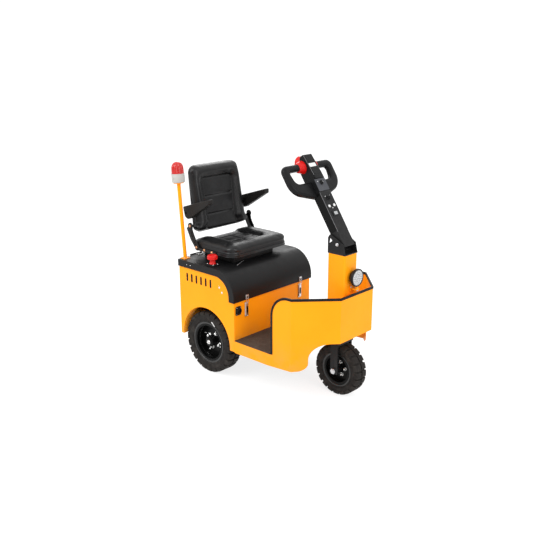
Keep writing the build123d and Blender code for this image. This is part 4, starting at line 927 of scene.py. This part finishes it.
# Headlight: a reflector full of small lenses, and its bolts
LIGHT_X, LIGHT_Y, LIGHT_Z = 573, 14, 703
bm = bmesh.new()
light = frame_at((LIGHT_X, LIGHT_Y, LIGHT_Z), FORWARD)
turn(bm, light, [(0, -4.8), (43.7, -4.8), (43.7, -1.2), (41, -0.4), (40, -2.6), (0, -2.6)], 48)
for count, ring in ((1, 0), (6, 13), (12, 25.5), (18, 36)):
    for i in range(count):
        a = math.tau * i / count + ring
        bead = light @ Matrix.Translation((ring * math.cos(a), ring * math.sin(a), -2.7))
        turn(bm, bead, [(5.2, 0), (5.0, 1.2), (4.0, 2.6), (2.2, 3.4), (0, 3.7)], 14, 1)
lamp_finishes = [lamp_back, lamp_glass]
piece("headlight_cluster", bm, "chassis", lamp_finishes, angle=40, replaced=("headlight_lens",))
bm = bmesh.new()
bolt(bm, (566.5, LIGHT_Y, 634.4), DOWNWARD, 8, 7)
for dy in (-14, 14):
    bolt(bm, (538.1, LIGHT_Y + dy, 646), FORWARD, 4.5, 3.5)
piece("headlight_bolts", bm, "chassis", steel, edge=0.4)

# Beacon: a fluted dome, and a switch and a seam on its base
POLE_LEAN = math.radians(4.5)
POLE_UP = Vector((-math.sin(POLE_LEAN), 0, math.cos(POLE_LEAN)))
POLE_X, POLE_Y = -486, -304
POLE_FOOT = Vector((POLE_X, POLE_Y, 679.5))
SWITCH_UP, SEAM_UP, DOME_UP = 484, 508, 510
DOME_POINTS, FLUTE_POINTS, FLUTE_DEPTH, RIM_DEPTH = 96, 4, 1.5, 0.3
bm = bmesh.new()
at = frame_at(POLE_FOOT + POLE_UP * DOME_UP, POLE_UP)
levels = [(37.3, 0.2), (37.3, 5), (36.4, 6), (36.1, 20), (35.5, 35.5)]
levels += [(34.5 * math.cos(a) + 0.6, 35.5 + 33.9 * math.sin(a)) for a in (0.2, 0.45, 0.7, 0.95, 1.2, 1.4)]
rings = []
for k, (radius, height) in enumerate(levels):
    depth = FLUTE_DEPTH if 1 < k < len(levels) - 2 else RIM_DEPTH
    ring = []
    for i in range(DOME_POINTS):
        a = math.tau * i / DOME_POINTS
        r = radius - depth * (i % FLUTE_POINTS < FLUTE_POINTS / 2)
        ring.append(bm.verts.new(at @ Vector((r * math.cos(a), r * math.sin(a), height))))
    rings.append(ring)
loft(bm, rings)
piece("beacon_lens", bm, "hood", red_lens, angle=30, replaced=("beacon_dome",))
bm = bmesh.new()
switch = frame_at(POLE_FOOT + POLE_UP * SWITCH_UP + Vector((0, -38.6, 0)), (0, -1, 0))
prism(bm, switch, rounded(13, 9, 2), -1, 1.2)
prism(bm, switch, rounded(7, 5, 1.2), 1, 2.6)
seam = frame_at(POLE_FOOT + POLE_UP * SEAM_UP, POLE_UP)
turn(bm, seam, [(36, -2), (39.2, -2), (39.6, 0), (39.2, 2), (36, 2)], 64)
piece("beacon_switch", bm, "hood", grey_plastic, edge=0.4)

# Screws at the foot of the pole and round the emergency stop
STOP_X, STOP_Y = -247, -301
bm = bmesh.new()
for dx in (-14, 14):
    for dy in (-18, 18):
        bolt(bm, (POLE_X + dx, POLE_Y + dy, 682), UPWARD, 4, 3, "hex", 1.3)
for dx in (-25, 25):
    for dy in (-16, 16):
        bolt(bm, (STOP_X + dx, STOP_Y + dy, 689), UPWARD, 4.8, 3, "dome", 0)
piece("hood_screws", bm, "hood", zinc, edge=0.3)

# Screws of the side panels, latches, hinges and charging socket, and bolts of the tow hitch
PANEL_Y, LATCH_X, LATCH_Y, HINGE_X, HINGE_Y = 335, -29, 236, -512, 190
HITCH_X, HITCH_Y, SOCKET_X, SOCKET_Y, SOCKET_Z = -517, 58, -33, -303, 448
HOOD_Y, HOOD_TOP, KEEPER_X = 343.4, 680, -28
bm = bmesh.new()
for side in SIDES:
    for x, z in ((-157, 570), (-135, 543)):
        bolt(bm, (x, side * PANEL_Y, z), (0, side, 0), 4.4, 3, "dome", 1.5)
    for z in (404, 478):
        bolt(bm, (LATCH_X, side * LATCH_Y, z), FORWARD, 3.4, 2.2, "dome", 0)
    for dy in (-30, 0, 30):
        for z in (657, 639):
            bolt(bm, (HINGE_X, side * HINGE_Y + dy, z), REARWARD, 4, 2.4, "dome", 0)
    for z in (226, 298):
        bolt(bm, (HITCH_X, side * HITCH_Y, z), REARWARD, 10, 8)
for dz in (20, -20):
    for dy in (-14, 14):
        bolt(bm, (SOCKET_X, SOCKET_Y + dy, SOCKET_Z + dz), FORWARD, 2.6, 1.6, "dome", 0)
piece("body_bolts", bm, "chassis", zinc, edge=0.3)

# Dark plates on the middle of the latch levers: painted shade
bm = bmesh.new()
for side in SIDES:
    prism(bm, frame_at((LATCH_X, side * LATCH_Y, 441), FORWARD, ACROSS), rounded(13, 40, 4), -0.6, 0.4)
piece("latch_painted_shade", bm, "chassis", black_rims_and_painted_shade)

# Screws of the hood: its sides, its hinge leaves and its latch keepers
bm = bmesh.new()
for side in SIDES:
    for x in (-429, -398):
        bolt(bm, (x, side * HOOD_Y, 656), (0, side, 0), 3.4, 1.8, "dome", 0)
    for x in (-497, -483):
        for dy in (-9, 9):
            bolt(bm, (x, side * HINGE_Y + dy, HOOD_TOP), UPWARD, 3.6, 2.2, "dome", 0)
    for z in (509, 528):
        bolt(bm, (KEEPER_X, side * LATCH_Y, z), FORWARD, 2.4, 1.6, "dome", 0)
piece("hood_bolts", bm, "hood", zinc, edge=0.3)

# Ribs along the mat, shorter at its outer edges
RIB = ((-3.2, 0), (-2.2, 1.2), (2.2, 1.2), (3.2, 0))
RIB_PITCH, RIB_REAR, RIB_FRONT, RIB_SHORT, RIB_OUTER, MAT_FACE = 12, -31, 300, 238, 318, 270.9
bm = bmesh.new()
for i in range(-27, 28):
    y = RIB_PITCH * i
    end = RIB_SHORT if abs(y) > RIB_OUTER else RIB_FRONT
    loft(bm, [[bm.verts.new((x, y + dy, MAT_FACE + dz)) for dy, dz in RIB] for x in (RIB_REAR, end)])
piece("mat_ribs", bm, "chassis", mat_rubber)

# Sky, floor, lights and camera, with lengths in metres
SKY_RANGE = (-0.1, 0.5, 0.36, 1.4)
SKY_SEEN = 1.05
FLOOR_HALF, FLOOR_Z = 90.0, -0.0005
scene = bpy.context.scene
scene.view_settings.view_transform = "Standard"
world = bpy.data.worlds.new("studio")
scene.world = world
world.use_nodes = True
sky = world.node_tree
add, link = sky.nodes.new, sky.links.new
axes, fade = add("ShaderNodeSeparateXYZ"), add("ShaderNodeMapRange")
seen, blend = add("ShaderNodeLightPath"), add("ShaderNodeMix")
link(add("ShaderNodeTexCoord").outputs["Generated"], axes.inputs["Vector"])
link(axes.outputs["Z"], fade.inputs["Value"])
for name, number in zip(RANGE_SOCKETS, SKY_RANGE):
    fade.inputs[name].default_value = number
blend.inputs["B"].default_value = SKY_SEEN
link(seen.outputs["Is Camera Ray"], blend.inputs["Factor"])
link(fade.outputs["Result"], blend.inputs["A"])
link(blend.outputs["Result"], sky.nodes["Background"].inputs["Strength"])
sky.nodes["Background"].inputs["Color"].default_value = WHITE

bm = bmesh.new()
corners = ((-1, -1), (1, -1), (1, 1), (-1, 1))
bm.faces.new([bm.verts.new((x * FLOOR_HALF, y * FLOOR_HALF, FLOOR_Z)) for x, y in corners])
floor_mesh = bpy.data.meshes.new("floor")
bm.to_mesh(floor_mesh)
bm.free()
floor = bpy.data.objects.new("floor", floor_mesh)
scene.collection.objects.link(floor)
floor_finish = Finish("floor_white", (0.3, 0.3, 0.3), Roughness=0.95, Specular_IOR_Level=0.0)
floor_finish.shader.inputs["Emission Color"].default_value = WHITE
floor_finish.shader.inputs["Emission Strength"].default_value = 0.78
floor_mesh.materials.append(floor_finish.material)


def area(name, place, target, size, power):
    """A square light that faces a target."""
    light = bpy.data.lights.new(name, "AREA")
    light.size = size
    light.energy = power
    obj = bpy.data.objects.new(name, light)
    obj.location = place
    obj.rotation_euler = (Vector(target) - Vector(place)).to_track_quat("-Z", "Y").to_euler()
    scene.collection.objects.link(obj)


area("key", (-1.2, -3.6, 3.4), (0, 0, 0.5), size=2.4, power=98)
area("fill", (3.8, -0.8, 2.2), (0.2, 0, 0.5), size=2.2, power=52)
area("back", (-2.6, 2.6, 3.0), (0, 0, 0.6), size=2.0, power=35)

AZIMUTH, ELEVATION = math.radians(42.6), math.radians(17.2)
CAMERA_PLACE = Vector((2872.8, -3153.9, 1923.3)) * MM
level = math.cos(ELEVATION)
back = Vector((math.sin(AZIMUTH) * level, -math.cos(AZIMUTH) * level, math.sin(ELEVATION)))
right = Vector((math.cos(AZIMUTH), math.sin(AZIMUTH), 0))
camera_data = bpy.data.cameras.new("photo_view")
camera_data.lens = 49.09
camera_data.sensor_width = 36
camera = bpy.data.objects.new("photo_view", camera_data)
camera.matrix_world = axes_at(CAMERA_PLACE, right, back.cross(right), back)
scene.collection.objects.link(camera)
scene.camera = camera
